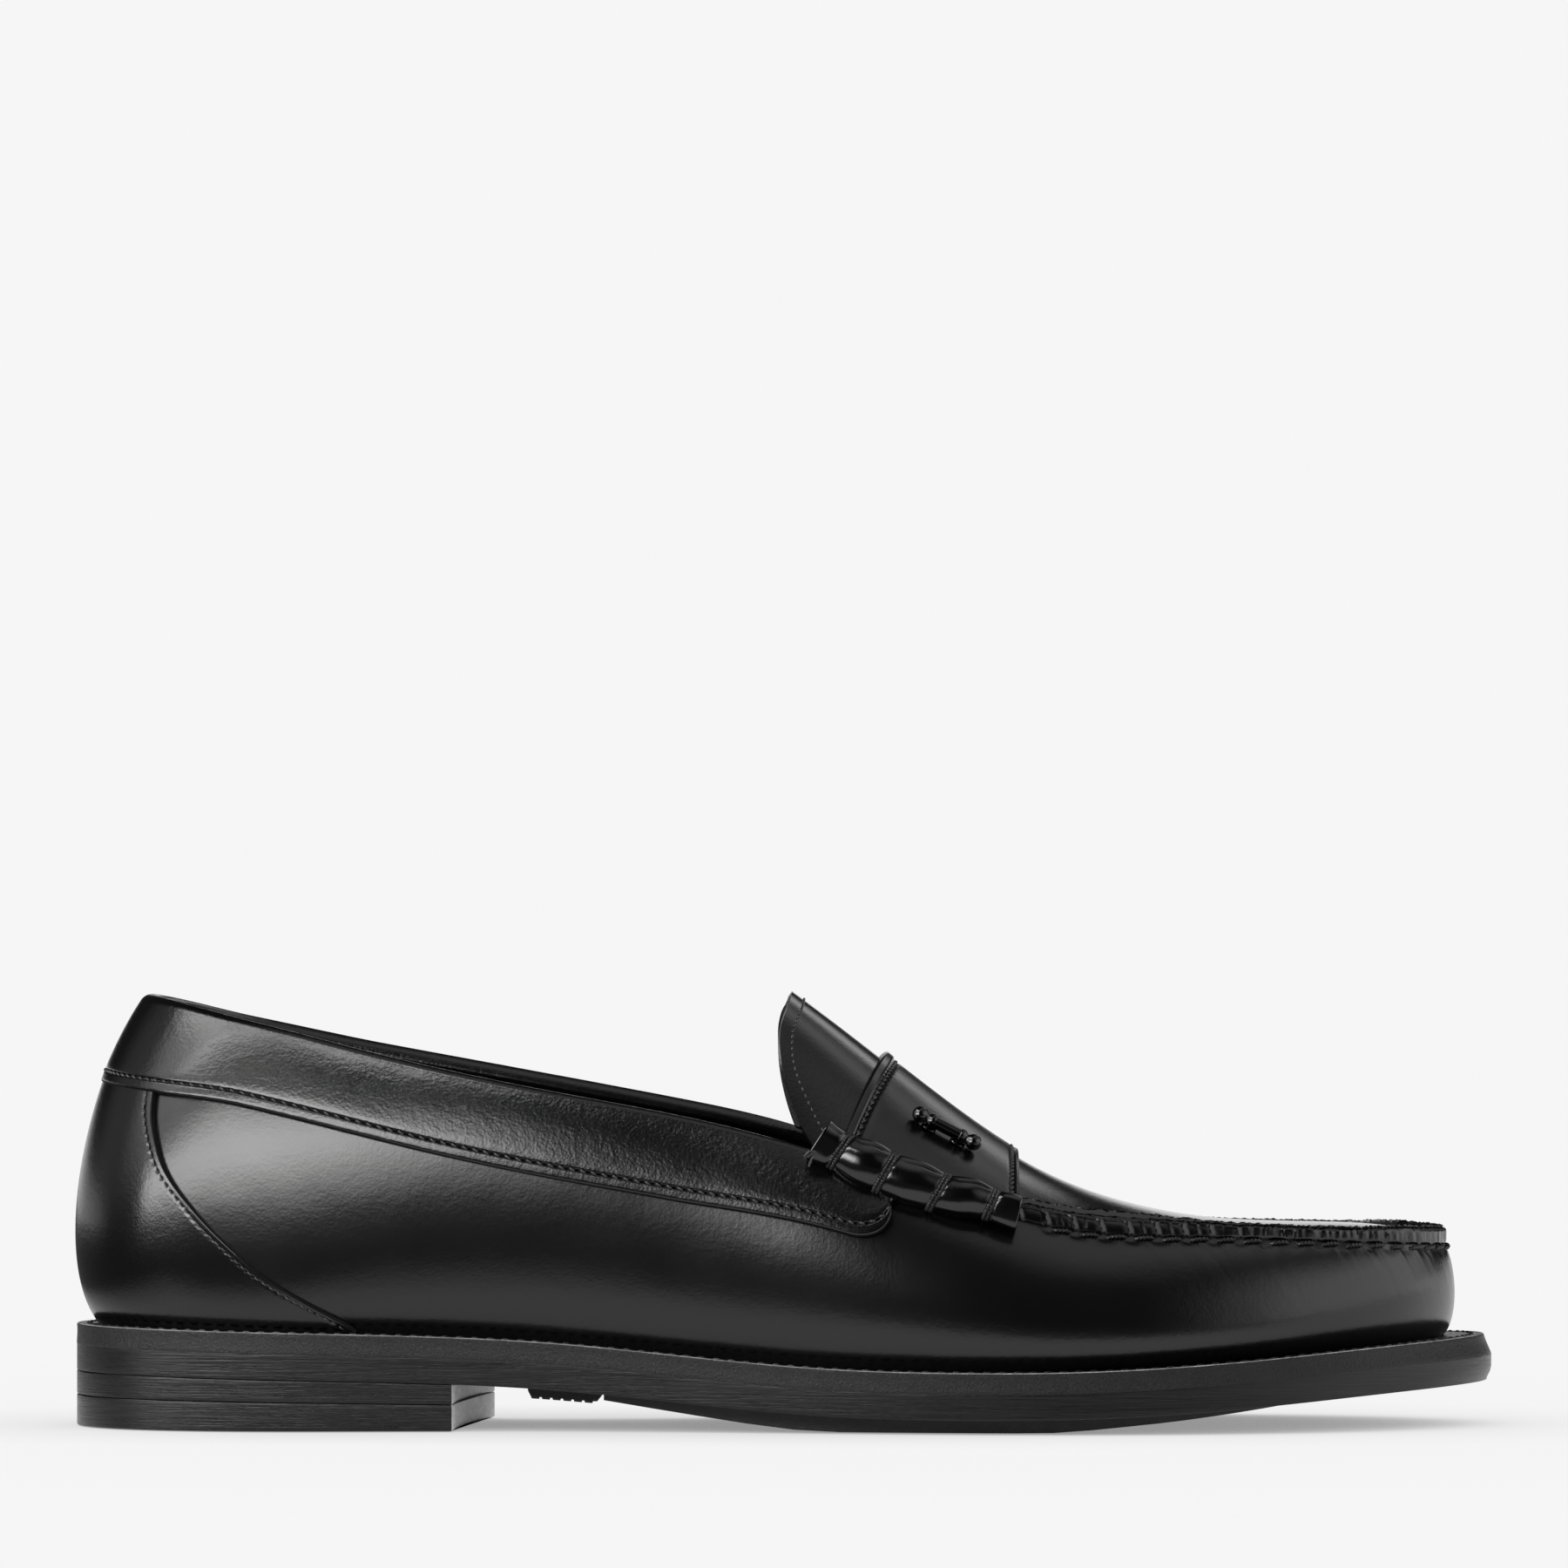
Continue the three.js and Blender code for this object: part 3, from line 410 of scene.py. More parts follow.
class Nodes:
    """A short way to write a node tree."""

    def __init__(self, tree):
        self.tree = tree
        tree.nodes.clear()

    def add(self, kind, inputs=None, output=0, **settings):
        """A node, with its inputs linked or set; gives one of its outputs."""
        node = self.tree.nodes.new(kind)
        for k, v in settings.items():
            setattr(node, k, v)
        for k, v in (inputs or {}).items():
            if isinstance(v, bpy.types.NodeSocket):
                self.tree.links.new(v, node.inputs[k])
            else:
                node.inputs[k].default_value = v
        return node.outputs[output] if len(node.outputs) else None

    def math(self, op, a, b=0.0, c=0.0):
        return self.add("ShaderNodeMath", {0: a, 1: b, 2: c}, operation=op)

    def times(self, a, b):
        return self.math("MULTIPLY", a, b)

    def noise(self, where, scale, detail=2.0, rough=0.5):
        return self.add("ShaderNodeTexNoise", {
            "Vector": where, "Scale": scale, "Detail": detail, "Roughness": rough}, "Fac")

    def spread(self, value, low, high, out_low, out_high):
        return self.add("ShaderNodeMapRange", {
            "Value": value, "From Min": low, "From Max": high, "To Min": out_low,
            "To Max": out_high}, "Result")

    def stretch(self, where, scale):
        return self.add("ShaderNodeMapping", {"Vector": where, "Scale": scale})

    def bump(self, height, strength, distance, below=None):
        inputs = {"Height": height, "Strength": strength, "Distance": distance}
        if below is not None:
            inputs["Normal"] = below
        return self.add("ShaderNodeBump", inputs)

    def mixed(self, fac, a, b):
        return self.add("ShaderNodeMix", {0: fac, 6: a, 7: b}, 2, data_type="RGBA")

    def xyz(self, where):
        split = self.add("ShaderNodeSeparateXYZ", {0: where}).node
        return list(split.outputs)

    def glow(self, colour, strength):
        return self.add("ShaderNodeEmission", {"Color": colour, "Strength": strength})

    def seen_by_camera(self):
        return self.add("ShaderNodeLightPath", output="Is Camera Ray")


def surface(name, build):
    material = bpy.data.materials.new(name)
    material.use_nodes = True
    n = Nodes(material.node_tree)
    shader = build(n, n.add("ShaderNodeTexCoord", output="Object"))
    n.add("ShaderNodeOutputMaterial", {"Surface": shader})
    return material


def principled(n, **values):
    renamed = {k.replace("_", " "): v for k, v in values.items()}
    return n.add("ShaderNodeBsdfPrincipled", renamed)


def grey(v, tint=(1, 1, 1)):
    return (v * tint[0], v * tint[1], v * tint[2], 1)


WORN_EDGE = 0.02  # brightness where polish has worn off an edge


def leather(name, rough=0.21, coat=0.15, coat_rough=0.12, grain=1.0, tone=0.0022, wave=0.7):
    """Polished black box calf: fine pores and hair lines, slow waves, lighter worn edges."""

    def build(n, where):
        pores = n.add("ShaderNodeTexVoronoi", {"Vector": where, "Scale": 1500.0}, "Distance")
        hair = n.noise(n.stretch(where, (1, 1, 1.6)), 2600, 3, 0.6)
        pebble = n.noise(where, 620, 3, 0.55)
        slow = n.noise(where, 38, 2, 0.4)
        patches = n.noise(where, 70, 1, 0.4)
        waves = (slow, 0.35 * wave, 0.0016)
        normal = n.bump(*waves)
        for height, strength, depth in ((pebble, 0.16, 0.00022), (pores, 0.12, 0.00010),
                                        (hair, 0.14, 0.00008)):
            normal = n.bump(height, strength * grain, depth, normal)
        edge = n.add("ShaderNodeNewGeometry", output="Pointiness")
        wear = n.spread(edge, 0.58, 0.72, 0, 1)
        shade = n.mixed(patches, grey(tone * 0.6), grey(tone * 1.5))
        shade = n.mixed(n.times(wear, 0.7), shade, grey(WORN_EDGE))
        return principled(
            n, Base_Color=shade,
            Roughness=n.spread(patches, 0.0, 1.0, rough - 0.02, rough + 0.02),
            Normal=normal, Coat_Weight=coat, Coat_Roughness=coat_rough,
            Coat_Normal=n.bump(*waves))

    return surface(name, build)


def fibrous(name, low, high, rough, scale=900, strength=0.5, distance=0.0004,
            stretch=(1, 1, 1), spec=0.5):
    """A matt ground with fibres or pebbles, stretched where the real one runs one way."""

    def build(n, where):
        run = n.stretch(where, stretch)
        coarse = n.noise(run, scale, 5, 0.65)
        fine = n.noise(where, scale * 4, 3, 0.6)
        patch = n.noise(run, scale * 0.12, 3, 0.5)
        both = n.math("MULTIPLY_ADD", patch, 0.5, n.times(coarse, 0.5))
        normal = n.bump(fine, strength * 0.4, distance * 0.3, n.bump(coarse, strength, distance))
        return principled(
            n, Base_Color=n.mixed(n.spread(both, 0.35, 0.65, 0, 1), low, high),
            Roughness=n.spread(coarse, 0.3, 0.7, rough * 0.8, min(1, rough * 1.15)),
            Specular_IOR_Level=spec, Normal=normal)

    return surface(name, build)


def metal(name, tone, rough):
    """Polished metal with a faint brush along the shoe."""

    def build(n, where):
        brushed = n.noise(n.stretch(where, (1, 8, 8)), 900, 4, 0.6)
        cloud = n.noise(where, 300, 3, 0.5)
        return principled(
            n, Base_Color=n.mixed(cloud, grey(tone * 0.8), grey(tone * 1.2)), Metallic=1.0,
            Roughness=n.spread(brushed, 0.3, 0.7, rough * 0.8, rough * 1.3),
            Normal=n.bump(brushed, 0.06, 0.00005))

    return surface(name, build)


def waxed(name, tone, rough, sheen=0.1):
    """Waxed thread: fibres run along the twist, with light caught on them."""

    def build(n, where):
        fibre = n.noise(where, 5200, 3, 0.7)
        patch = n.noise(where, 700, 3, 0.6)
        return principled(
            n, Base_Color=n.mixed(patch, grey(tone * 0.5), grey(tone * 1.8)),
            Roughness=n.spread(fibre, 0.3, 0.7, rough * 0.8, rough * 1.2),
            Normal=n.bump(fibre, 0.35, 0.00008), Sheen_Weight=sheen)

    return surface(name, build)


CALF = leather("calf")
CALF_FRONT = leather("calf_vamp", rough=0.25)
CALF_APRON = leather("calf_apron", rough=0.17, wave=0.4)
CALF_COLLAR = leather("calf_collar", grain=2.0)
ROLLED = leather("calf_rolled", rough=0.17, coat=0.3, coat_rough=0.08, grain=0.6)
RAW_EDGE = fibrous("raw_edge", grey(0.006), grey(0.04), 0.75, 1900, 1.0, 0.0005)
LINING = leather("lining_calf", rough=0.55, coat=0.0, grain=1.6, tone=0.008)
WELT_EDGE = fibrous("welt_edge", grey(0.003), grey(0.010), 0.31, 1700, 0.8, 0.0003, spec=0.36)
# The welt's rim is painted light grey: a painted highlight along its top edge.
WELT_RIM_PAINTED_HIGHLIGHT = fibrous("welt_rim", grey(0.12), grey(0.8), 0.4, 1900, 0.7, 0.0003)
# A lighter grey for one narrow strip near the collar roll's top: a painted highlight along the seam
# there.
PAINTED_HIGHLIGHT_STRIP = fibrous("piping", grey(0.02), grey(0.09), 0.5, 2400, 0.6, 0.0002)
DYED_EDGE = fibrous("dyed_edge", grey(0.002), grey(0.006), 0.8, 1900, 0.6, 0.0002, spec=0.15)
SOLE_EDGE = fibrous("sole_edge", grey(0.002), grey(0.014), 0.31, 820, 0.6, 0.00022,
                    (0.08, 0.08, 2.6), 0.36)
HEEL_FACE = fibrous("heel_face", grey(0.34), grey(0.95), 0.6, 420, 0.5, 0.0003, (1, 0.5, 2))
RUBBER = fibrous("rubber", grey(0.008), grey(0.02), 0.65, 2400, 0.5, 0.0002)
CORK = fibrous("cork", grey(0.25, (1, .7, .42)), grey(0.45, (1, .72, .45)), 0.9, 500, 0.9, 0.0006)
BOARD = fibrous("board", grey(0.4, (1, .85, .62)), grey(0.55, (1, .87, .66)), 0.9, 1400, 0.5,
                0.0002)
FIBRE = fibrous("fibre", grey(0.5, (1, .97, .9)), grey(0.7, (1, .97, .9)), 0.95, 1800, 0.6, 0.0002)
STEEL = metal("steel", 0.5, 0.35)
GUNMETAL = metal("gunmetal", 0.06, 0.16)
THREAD = waxed("thread", 0.05, 0.32)
WAXED = waxed("waxed_cord", 0.005, 0.34, sheen=0.04)

# ---------------------------------------------------------------- side wall of the upper


def columns(from_u, to_u, step):
    """u from one place to another, with a step in millimetres that depends on x."""
    u = np.linspace(from_u, to_u, 4001)
    p = upperEdge(u)
    need = np.linalg.norm(np.diff(p, axis=0), axis=1) / step(p[1:, 0])
    need = np.concatenate([[0], np.cumsum(need)])
    return np.interp(np.linspace(0, need[-1], int(round(need[-1])) + 1), need, u)


def ridge_high(x, y):
    """Height of the ridge's outer leather above the stitches."""
    inner = 0.35 * smooth(y, 0, 16)
    front = 3.2 - 0.7 * smooth(x, 76, 98) + 0.7 * smooth(x, 116, 132)
    return (front - inner) * smooth(x, RIDGE_FROM - 5, RIDGE_FROM + 3) + 0.05


def pleats(a, x, h):
    """How far the ridge's face stands out, a along the seam and h above the stitches."""
    late = smooth(x, 84, 104)
    toe = smooth(x, 128, 138)
    near = np.abs((a + 0.25 * h) / PITCH - np.round((a + 0.25 * h) / PITCH)) * PITCH
    rib = np.exp(-(near / 0.42) ** 2)
    half = np.exp(-((PITCH / 2 - near + 0.6 * chatter(a, 5, PITCH, False)) / 0.35) ** 2)
    half = half * (chatter(a, 8, PITCH, False) > -0.1)
    hollow = -0.55 * np.clip(near / 1.1, 0, 1) + 0.25 * rib + 0.3 * half
    streak = 0.26 * chatter(a + 0.15 * h, 11, 0.7) + 0.16 * chatter(a - 0.1 * h, 12, 0.36)
    streak = streak + 0.18 * rib
    rise = np.sin(np.clip(h / 3.4, 0, 1) * math.pi) ** 0.5
    return ((1 - late) * hollow + late * (1 - 0.6 * toe) * streak) * rise


def creases(a, x, s):
    """Fine slanting creases that run down from the stitches."""
    run = a * np.sign(a + 1e-9)
    lines = chatter(run + 0.45 * s, 21, 1.5) ** 3 + 0.5 * chatter(run + 0.3 * s, 22, 0.8) ** 3
    where = smooth(x, 60, 100) * (1 - 0.5 * smooth(x, 130, 140))
    fade = np.exp(-np.maximum(s - 1, 0) / 3.4) * smooth(s, 0.5, 2)
    dimple = 0.55 + 0.45 * np.cos(2 * math.pi * a / PITCH)
    dimple = -0.28 * np.exp(-((s - 1.1) / 1.2) ** 2) * dimple
    return 0.3 * lines * where * fade + dimple * smooth(x, 50, 56)


def build_wall():
    u = columns(0, 1, lambda x: np.where(x > 46, 0.34, 1.4))[:-1]
    full = wall_length(u)
    top = np.array([6, 5.2, 4.5, 3.8, 3.2, 2.7, 2.2, 1.8, 1.45, 1.15, 0.9, 0.65, 0.45, 0.28,
                    0.14, 0.04])
    body = np.linspace(1, 0, 34)[:-1]
    low = 6 + (full[:, None] + 0.6 - 6) * body
    s = np.concatenate([low, np.broadcast_to(top, (len(u), len(top)))], 1)
    a = edge_arc(u)[:, None]
    edge = upperEdge(u)
    x = edge[:, :1]
    # Under the collar the wall's edge stays low, so that the padded roll closes over it.
    covered = smooth(COLLAR_END + 2 - x, 0, 6) * 2.2
    s_used = np.maximum(s, covered)
    outer, _ = wall_at(u, s_used, creases(a, x, s) + 0.12 * chatter(a, 31, 26) * smooth(s, 3, 12))
    out = plan_out(upperEdge, u)
    high = ridge_high(x, edge[:, 1:2])
    front = smooth(x, RIDGE_FROM - 5, RIDGE_FROM + 1)
    face = []
    for k in (0.03, 0.08, 0.15, 0.25, 0.36, 0.48, 0.6, 0.72, 0.84, 0.93, 1.0):
        h = high * k
        stand = 0.1 - 0.35 * np.exp(-(h / 0.45) ** 2) + pleats(a, x, h * 3.4 / 3.6)
        stand = stand - 0.12 * smooth(k, 0.9, 1)
        lip = h + 0.16 * chatter(a, 41, 1.7) * smooth(k, 0.7, 1)
        face.append(edge + out * (stand * front) + UP * (lip * front + h * (1 - front)))
    rim = []
    for k in (0.12, 0.4, 0.7, 0.95):
        rough = 0.22 * chatter(a, 51 + int(10 * k), 0.45) + 0.12 * chatter(a, 61 + int(10 * k), 0.3)
        slope = 0.55 * k * (1 - smooth(x, 68, 90)) * (a < 0)
        lift = high + (0.14 + slope + rough) * front
        rim.append(edge - out * (LEATHER * k) + UP * lift)
    back = [edge - out * LEATHER + UP * (high * k) for k in (0.7, 0.3)]
    dip = UP * covered[..., None] * -0.9
    inward = -out[:, None] * 0.15 * covered[..., None]
    ridge = np.stack(face + rim + back, 1) + dip + inward
    inside = np.linspace(0.06, 1, 20) * (full[:, None] - 0.5)
    inner, _ = wall_at(u, np.maximum(inside, covered + 0.8), -LEATHER)
    grid = np.concatenate([outer, ridge, inner], 1)
    obj = rings("vamp_leather", grid, [CALF_FRONT, RAW_EDGE], "box_calf", ["vamp_wall"],
                closed=True, sharp=50)
    # The cut rim of the ridge shows the leather's raw edge.
    first = s.shape[1] + len(face) - 1
    mark(obj, grid.shape[1], lambda i, j: (j >= first) & (j <= first + len(rim)))


# x of the tongue's free edge from the middle (0) to the seam on either side (1)
TONGUE = Curve([0, .367, .5, .61, .745, .828, .921, 1],
               [1.5, .55, -.55, -1.07, -.26, 1.1, 3.3, 6.8])


def build_apron():
    """Apron and tongue: one leather whose edge turns up inside the ridge."""
    # Each half runs along the seam from the throat to the toe, and across from its spine.
    j = np.linspace(0, 1, 420)
    rho = np.concatenate([np.linspace(0, 0.9, 34), np.linspace(0.915, 1, 14)])
    throat_x, spine_end = 1.5, 116
    halves = []
    for side in (-1, 1):
        u = np.interp(j, [0, 1], [u_at_x(upperEdge, side, 7.4), U_TOE])
        seam = upperEdge(u) - plan_out(upperEdge, u) * SEAM_INSET
        share = np.clip((seam[:, 0] - seam[0, 0]) / (spine_end + 2 - seam[0, 0]), 0, 1)
        spine_x = throat_x + (spine_end - throat_x) * share
        mid = (np.interp(spine_x, XS, SEAM[-1][0]) + np.interp(spine_x, XS, SEAM[1][0])) / 2
        x = spine_x[:, None] + rho * (seam[:, :1] - spine_x[:, None])
        y = mid[:, None] + rho * (seam[:, 1:2] - mid[:, None])
        bow = TONGUE(rho) - (throat_x + rho * (seam[0, 0] - throat_x))
        x = x + bow[None] * (1 - smooth(j, 0, 0.5))[:, None]
        z = instep_z(x, y)
        z[:, -1] = seam[:, 2]
        halves.append((u, seam, x, y, z))
    u, seam, x, y, z = (np.concatenate([a, b[::-1][1:]]) for a, b in zip(*halves))
    plan = np.stack([x, y, z], -1)
    a = edge_arc(u)[:, None]
    out = plan_out(upperEdge, u)
    front = smooth(seam[:, :1], RIDGE_FROM - 5, RIDGE_FROM + 1)
    extra = 1.05 * (1 - smooth(seam[:, :1], 68, 90)) * (a < 0) + 0.05
    high = (ridge_high(seam[:, :1], seam[:, 1:2]) + extra) * front + 0.05
    # The last rows of the skin bend up into the flange.
    gap = np.linalg.norm(plan[:, -1:, :2] - plan[..., :2], axis=2)
    plan[..., 2] += 0.75 * np.exp(-(gap / 1.3) ** 2) * front
    base = plan[:, -1]
    edge = []
    stand = 0.12 + 0.12 * chatter(a, 71, 2.3) * front
    for k in (0.3, 0.5, 0.7, 0.85, 0.97):
        edge.append(base + out * stand + UP * (high * k - 0.75 * front * (1 - k)).clip(0))
    for k in (0.2, 0.6, 1.0):
        rough = 0.24 * chatter(a, 81 + int(9 * k), 0.5) + 0.12 * chatter(a, 91 + int(9 * k), 0.3)
        edge.append(base + out * (0.15 + 1.0 * k) + UP * (high + (0.1 + rough - 0.25 * k) * front))
    upper = np.concatenate([plan, np.stack(edge, 1)], 1)
    lower = plan - instep_normal(x, y) * LEATHER
    ring = np.concatenate([upper, lower[:, ::-1]], 1)
    n, r = ring.shape[:2]
    # The free ends at the throat are closed from the upper skin to the lower one.
    last, k = (n - 1) * r, np.arange(len(rho) - 1)
    faces = [quads(n, r, (False, False)),
             np.stack([k, k + 1, r - 2 - k, r - 1 - k], 1),
             np.stack([last + r - 1 - k, last + r - 2 - k, last + k + 1, last + k], 1)]
    for end, turn in ((0, 1), (last, -1)):
        loop = end + np.arange(len(rho) - 1, upper.shape[1] + 1)
        faces.append(loop[None, ::turn])
    obj = put("apron_and_tongue_leather", ring, faces, [CALF_APRON, RAW_EDGE], "box_calf",
              ["apron_and_tongue"], 50)
    # The spine rows of both halves coincide; one surface is made by welding them.
    bm = bmesh.new()
    bm.from_mesh(obj.data)
    bmesh.ops.remove_doubles(bm, verts=bm.verts, dist=2e-6)
    bmesh.ops.recalc_face_normals(bm, faces=bm.faces)
    bm.to_mesh(obj.data)
    bm.free()
    obj.data.shade_smooth()
    obj.data.set_sharp_from_angle(angle=math.radians(50))


build_wall()
build_apron()

# ---------------------------------------------------------------- heel counter cover

SEAM_MARGIN = 1.9  # from the cover's front edge to its stitches
FINE_PITCH = 1.9  # of the stitches on the cover and the strap


def pucker(run, pitch):
    """1 where a stitch dips into the leather and 0 half a pitch further."""
    return 0.5 + 0.5 * np.cos(2 * math.pi * run / pitch)


def build_counter():
    """The counter cover and its row of stitches."""
    top = 12.5  # of the cover, below the wall's edge and under the collar
    # Rows from the cover's foot (0) to its top (1), close together at both ends.
    t_rows = np.concatenate([[0, .003, .01, .02], np.linspace(.03, .97, 130),
                             [.98, .99, .997, 1.0]])
    soften = np.array([1, 2, 3, 2, 1]) / 9
    probe = np.linspace(0, 0.2, 900)
    ends = {}
    for side in (-1, 1):
        u = probe if side < 0 else 1 - probe
        s = top + (wall_length(u)[:, None] - 0.4 - top) * (1 - t_rows)
        p, _ = wall_at(u, s, 0.0)
        ahead = p[..., 0] - counterEdge(p[..., 2])
        at, col = np.argmax(ahead > 0, axis=0), np.arange(len(t_rows))
        now, before = ahead[at, col], ahead[at - 1, col]
        found = probe[at] - (probe[1] - probe[0]) * np.clip(now / (now - before), 0, 1)
        ends[side] = np.convolve(np.pad(found, 2, mode="edge"), soften, "valid")
    # Columns run from the inner side's edge round the heel to the outer side's edge.
    near = [0, .0012, .003, .006, .009, .0115, .0135, .0155, .018, .021, .026]
    half = 1 - np.concatenate([near, np.linspace(.034, 1, 84)])
    across = np.concatenate([half, -half[::-1][1:]])[:, None]
    # Positive places are on the inner side, so u runs backwards there.
    u_grid = np.mod(-np.where(across > 0, across * ends[1], across * ends[-1]), 1)
    cols = []
    for u, t in zip(u_grid.T, t_rows):
        s = top + (wall_length(u) - 0.4 - top) * (1 - t)
        cols.append([q[:, 0] for q in wall_at(u, s[:, None], 0.0)])
    p, nrm = (np.stack(q, 1) for q in zip(*cols))
    # Distance from the front edges, along the rows.
    step = np.linalg.norm(np.diff(p, axis=0), axis=2)
    far = np.concatenate([np.zeros((1, p.shape[1])), np.cumsum(step, 0)])
    margin = np.minimum(far, far[-1:] - far)
    # Length along the edge, for the stitches and their puckers.
    run = np.where(far < far[-1:] / 2, run_length(p[0])[None], run_length(p[-1])[None])
    groove = np.exp(-((margin - SEAM_MARGIN) / 0.3) ** 2)
    d = 0.25 + 1.25 * rounding(margin, 0.4) - groove * (0.02 + 0.24 * pucker(run, FINE_PITCH))
    above = p + nrm * d[..., None]
    obj = shell("counter_cover_leather", above, p + nrm * 0.05, [CALF, DYED_EDGE], "box_calf",
                ["counter_cover"], sharp=50)
    mark(obj, 2 * len(t_rows), lambda i, j: (i < 3) | (i > len(p) - 5))
    for name, order, way in (("inner", far, 1), ("outer", (far[-1:] - far)[::-1], -1)):
        # The row ends where the collar covers it.
        at = np.array([[pick(SEAM_MARGIN, order[:, k], q[::way, k]) for q in (above, nrm)]
                       for k in range(2, np.searchsorted(t_rows, 0.835))])
        stitch_row(f"counter_stitches_{name}", Row(at[:, 0], at[:, 1]), FINE_PITCH, THREAD,
                   f"counter_thread_{name}", long=0.72, radius=0.2, lift=0.1)


build_counter()

# ---------------------------------------------------------------- padded collar

COLLAR_SEAM = 2.5  # from the collar's lower edge to its stitches
COLLAR_PITCH = 2.3


def collar_low(x):
    """Distance of the collar's lower edge below the wall's edge; its front ends are rounded."""
    r = 10.0
    k = np.clip((x - (COLLAR_END - r)) / r, 0, 1)
    wide = COLLAR + 1.5 * (1 - smooth(x, -25, 10)) + 1.6 * (1 - smooth(x, -133, -112))
    return wide - r * (1 - np.sqrt(1 - k * k))


def build_collar():
    """The padded band: outside, over the roll, down inside, and back along its hidden side."""
    ends = {side: u_at_x(upperEdge, side, COLLAR_END) for side in (-1, 1)}
    u = columns(ends[1] - 1, ends[-1], lambda x: np.where(x > 10, 0.3, 0.55))
    uu = np.mod(u, 1)
    x = upperEdge(uu)[:, :1]
    low = collar_low(x)
    flat_row = np.full_like(low, 1.0)
    run = Row(*[q[:, 0] for q in wall_at(uu, low, 0.0)]).a[:, None]
    under = 4.5 * smooth(x, 7, 14)  # it sinks below the rolls
    start = math.radians(9)
    top = 1.9 + under - 2.3 * math.sin(start) + 0.25
    near_seam = np.array([0.8, 1.2, 1.6, 1.9, 2.1, 2.25, 2.4, 2.5, 2.6, 2.75, 2.95, 3.25, 3.7, 4.3])
    above = 4.3 + (low - 4.3 - top) * np.linspace(0, 1, 23)[1:]
    s = low - np.concatenate([near_seam * flat_row, above], 1)
    seam = np.exp(-((s - (low - COLLAR_SEAM)) / 0.26) ** 2)
    over = np.maximum(low - COLLAR_SEAM - s, 0)
    lean = 0.035 + 0.04 * smooth(x, -112, -85)
    flat = 1.9 - 0.1 * np.exp(-((over - 0.3) / 0.8) ** 2) * (over > 0)
    d = flat - lean * over
    d = d + 0.03 * chatter(run, 101, 9.0) * smooth(low - s, 3, 6)
    d = d - seam * (0.3 + 0.35 * pucker(run, COLLAR_PITCH))
    lower = [(low, 0.3), (low + 0.1, 0.9), (low, 1.5), (low - 0.15, 1.78), (low - 0.4, 1.88)]
    turn = np.radians(np.concatenate([np.linspace(9, 60, 9), [64, 67], np.linspace(78, 172, 8)]))
    roll_d = d[:, -1:] - 2.4 * math.cos(start) + 2.4 * np.cos(turn)
    roll_d = roll_d + (-4.15 - roll_d[:, -1:]) * smooth(turn, 1.2, turn[-1])
    roll_s = 1.9 + under - (2.3 + 0.8 * (1 - smooth(x, -134, -112))) * np.sin(turn)
    leg = np.linspace(2.4, 13, 12) + under * 0.4
    leg_d = -4.15 - 0.25 * np.sin(math.pi * np.arange(12) / 12)
    S = [q[0] for q in lower] + [s, roll_s, leg, leg[:, -1:] + 0.3, leg[:, -1:] + 0.3]
    D = [flat_row * q[1] for q in lower] + [d, roll_d, flat_row * leg_d, flat_row * [-3.9, -3.5]]
    count = sum(q.shape[1] for q in S)
    # This row of the roll's section carries the lighter strip, a painted highlight along the seam
    # at the roll's top.
    piping = len(lower) + s.shape[1] + 9
    # The hidden side, from the inner leg's foot up under the roll and down the outer leg.
    back = [leg[:, -1:] - 1 - (leg[:, -1:] - 4.2 - under) * np.linspace(0, 1, 22),
            np.concatenate([3.4 + under, 3.0 + under, 3.4 + under], 1)]
    rest = count - sum(q.shape[1] for q in back)
    back.append(3.8 + under + (low - 0.4 - 3.8 - under) * np.linspace(0, 1, rest))
    back_d = flat_row * np.array([-3.3] * 22 + [-2.4, -1.2, -0.1] + [0.15] * rest)
    S, D = np.concatenate(S + back, 1), np.concatenate(D + [back_d], 1)
    close = 0.3 + 0.7 * rounding(np.abs(COLLAR_END - x), 0.6)
    D = np.where(D > 0.15, 0.15 + (D - 0.15) * close, D)
    grid, _ = wall_at(uu, S, D)
    obj = rings("collar_padded", grid, [CALF_COLLAR, DYED_EDGE, PAINTED_HIGHLIGHT_STRIP], "box_calf",
                ["collar_band", "collar_foam"], sharp=50)
    mark(obj, grid.shape[1], lambda i, j: j < 2)
    # The lighter strip near the roll's top is a painted highlight.
    mark(obj, grid.shape[1], lambda i, j: j == piping, 2)
    row = Row(*[q[:, 0] for q in wall_at(uu, low - COLLAR_SEAM, 1.6)])
    stitch_row("collar_stitches", row, COLLAR_PITCH, THREAD, "collar_thread",
               long=0.6, radius=0.28, lift=0.1, slant=0.5, ply=0.3)


build_collar()

# ---------------------------------------------------------------- linings and sock

LINING_SPLIT = 25.0  # x where the quarter lining ends and the vamp lining starts


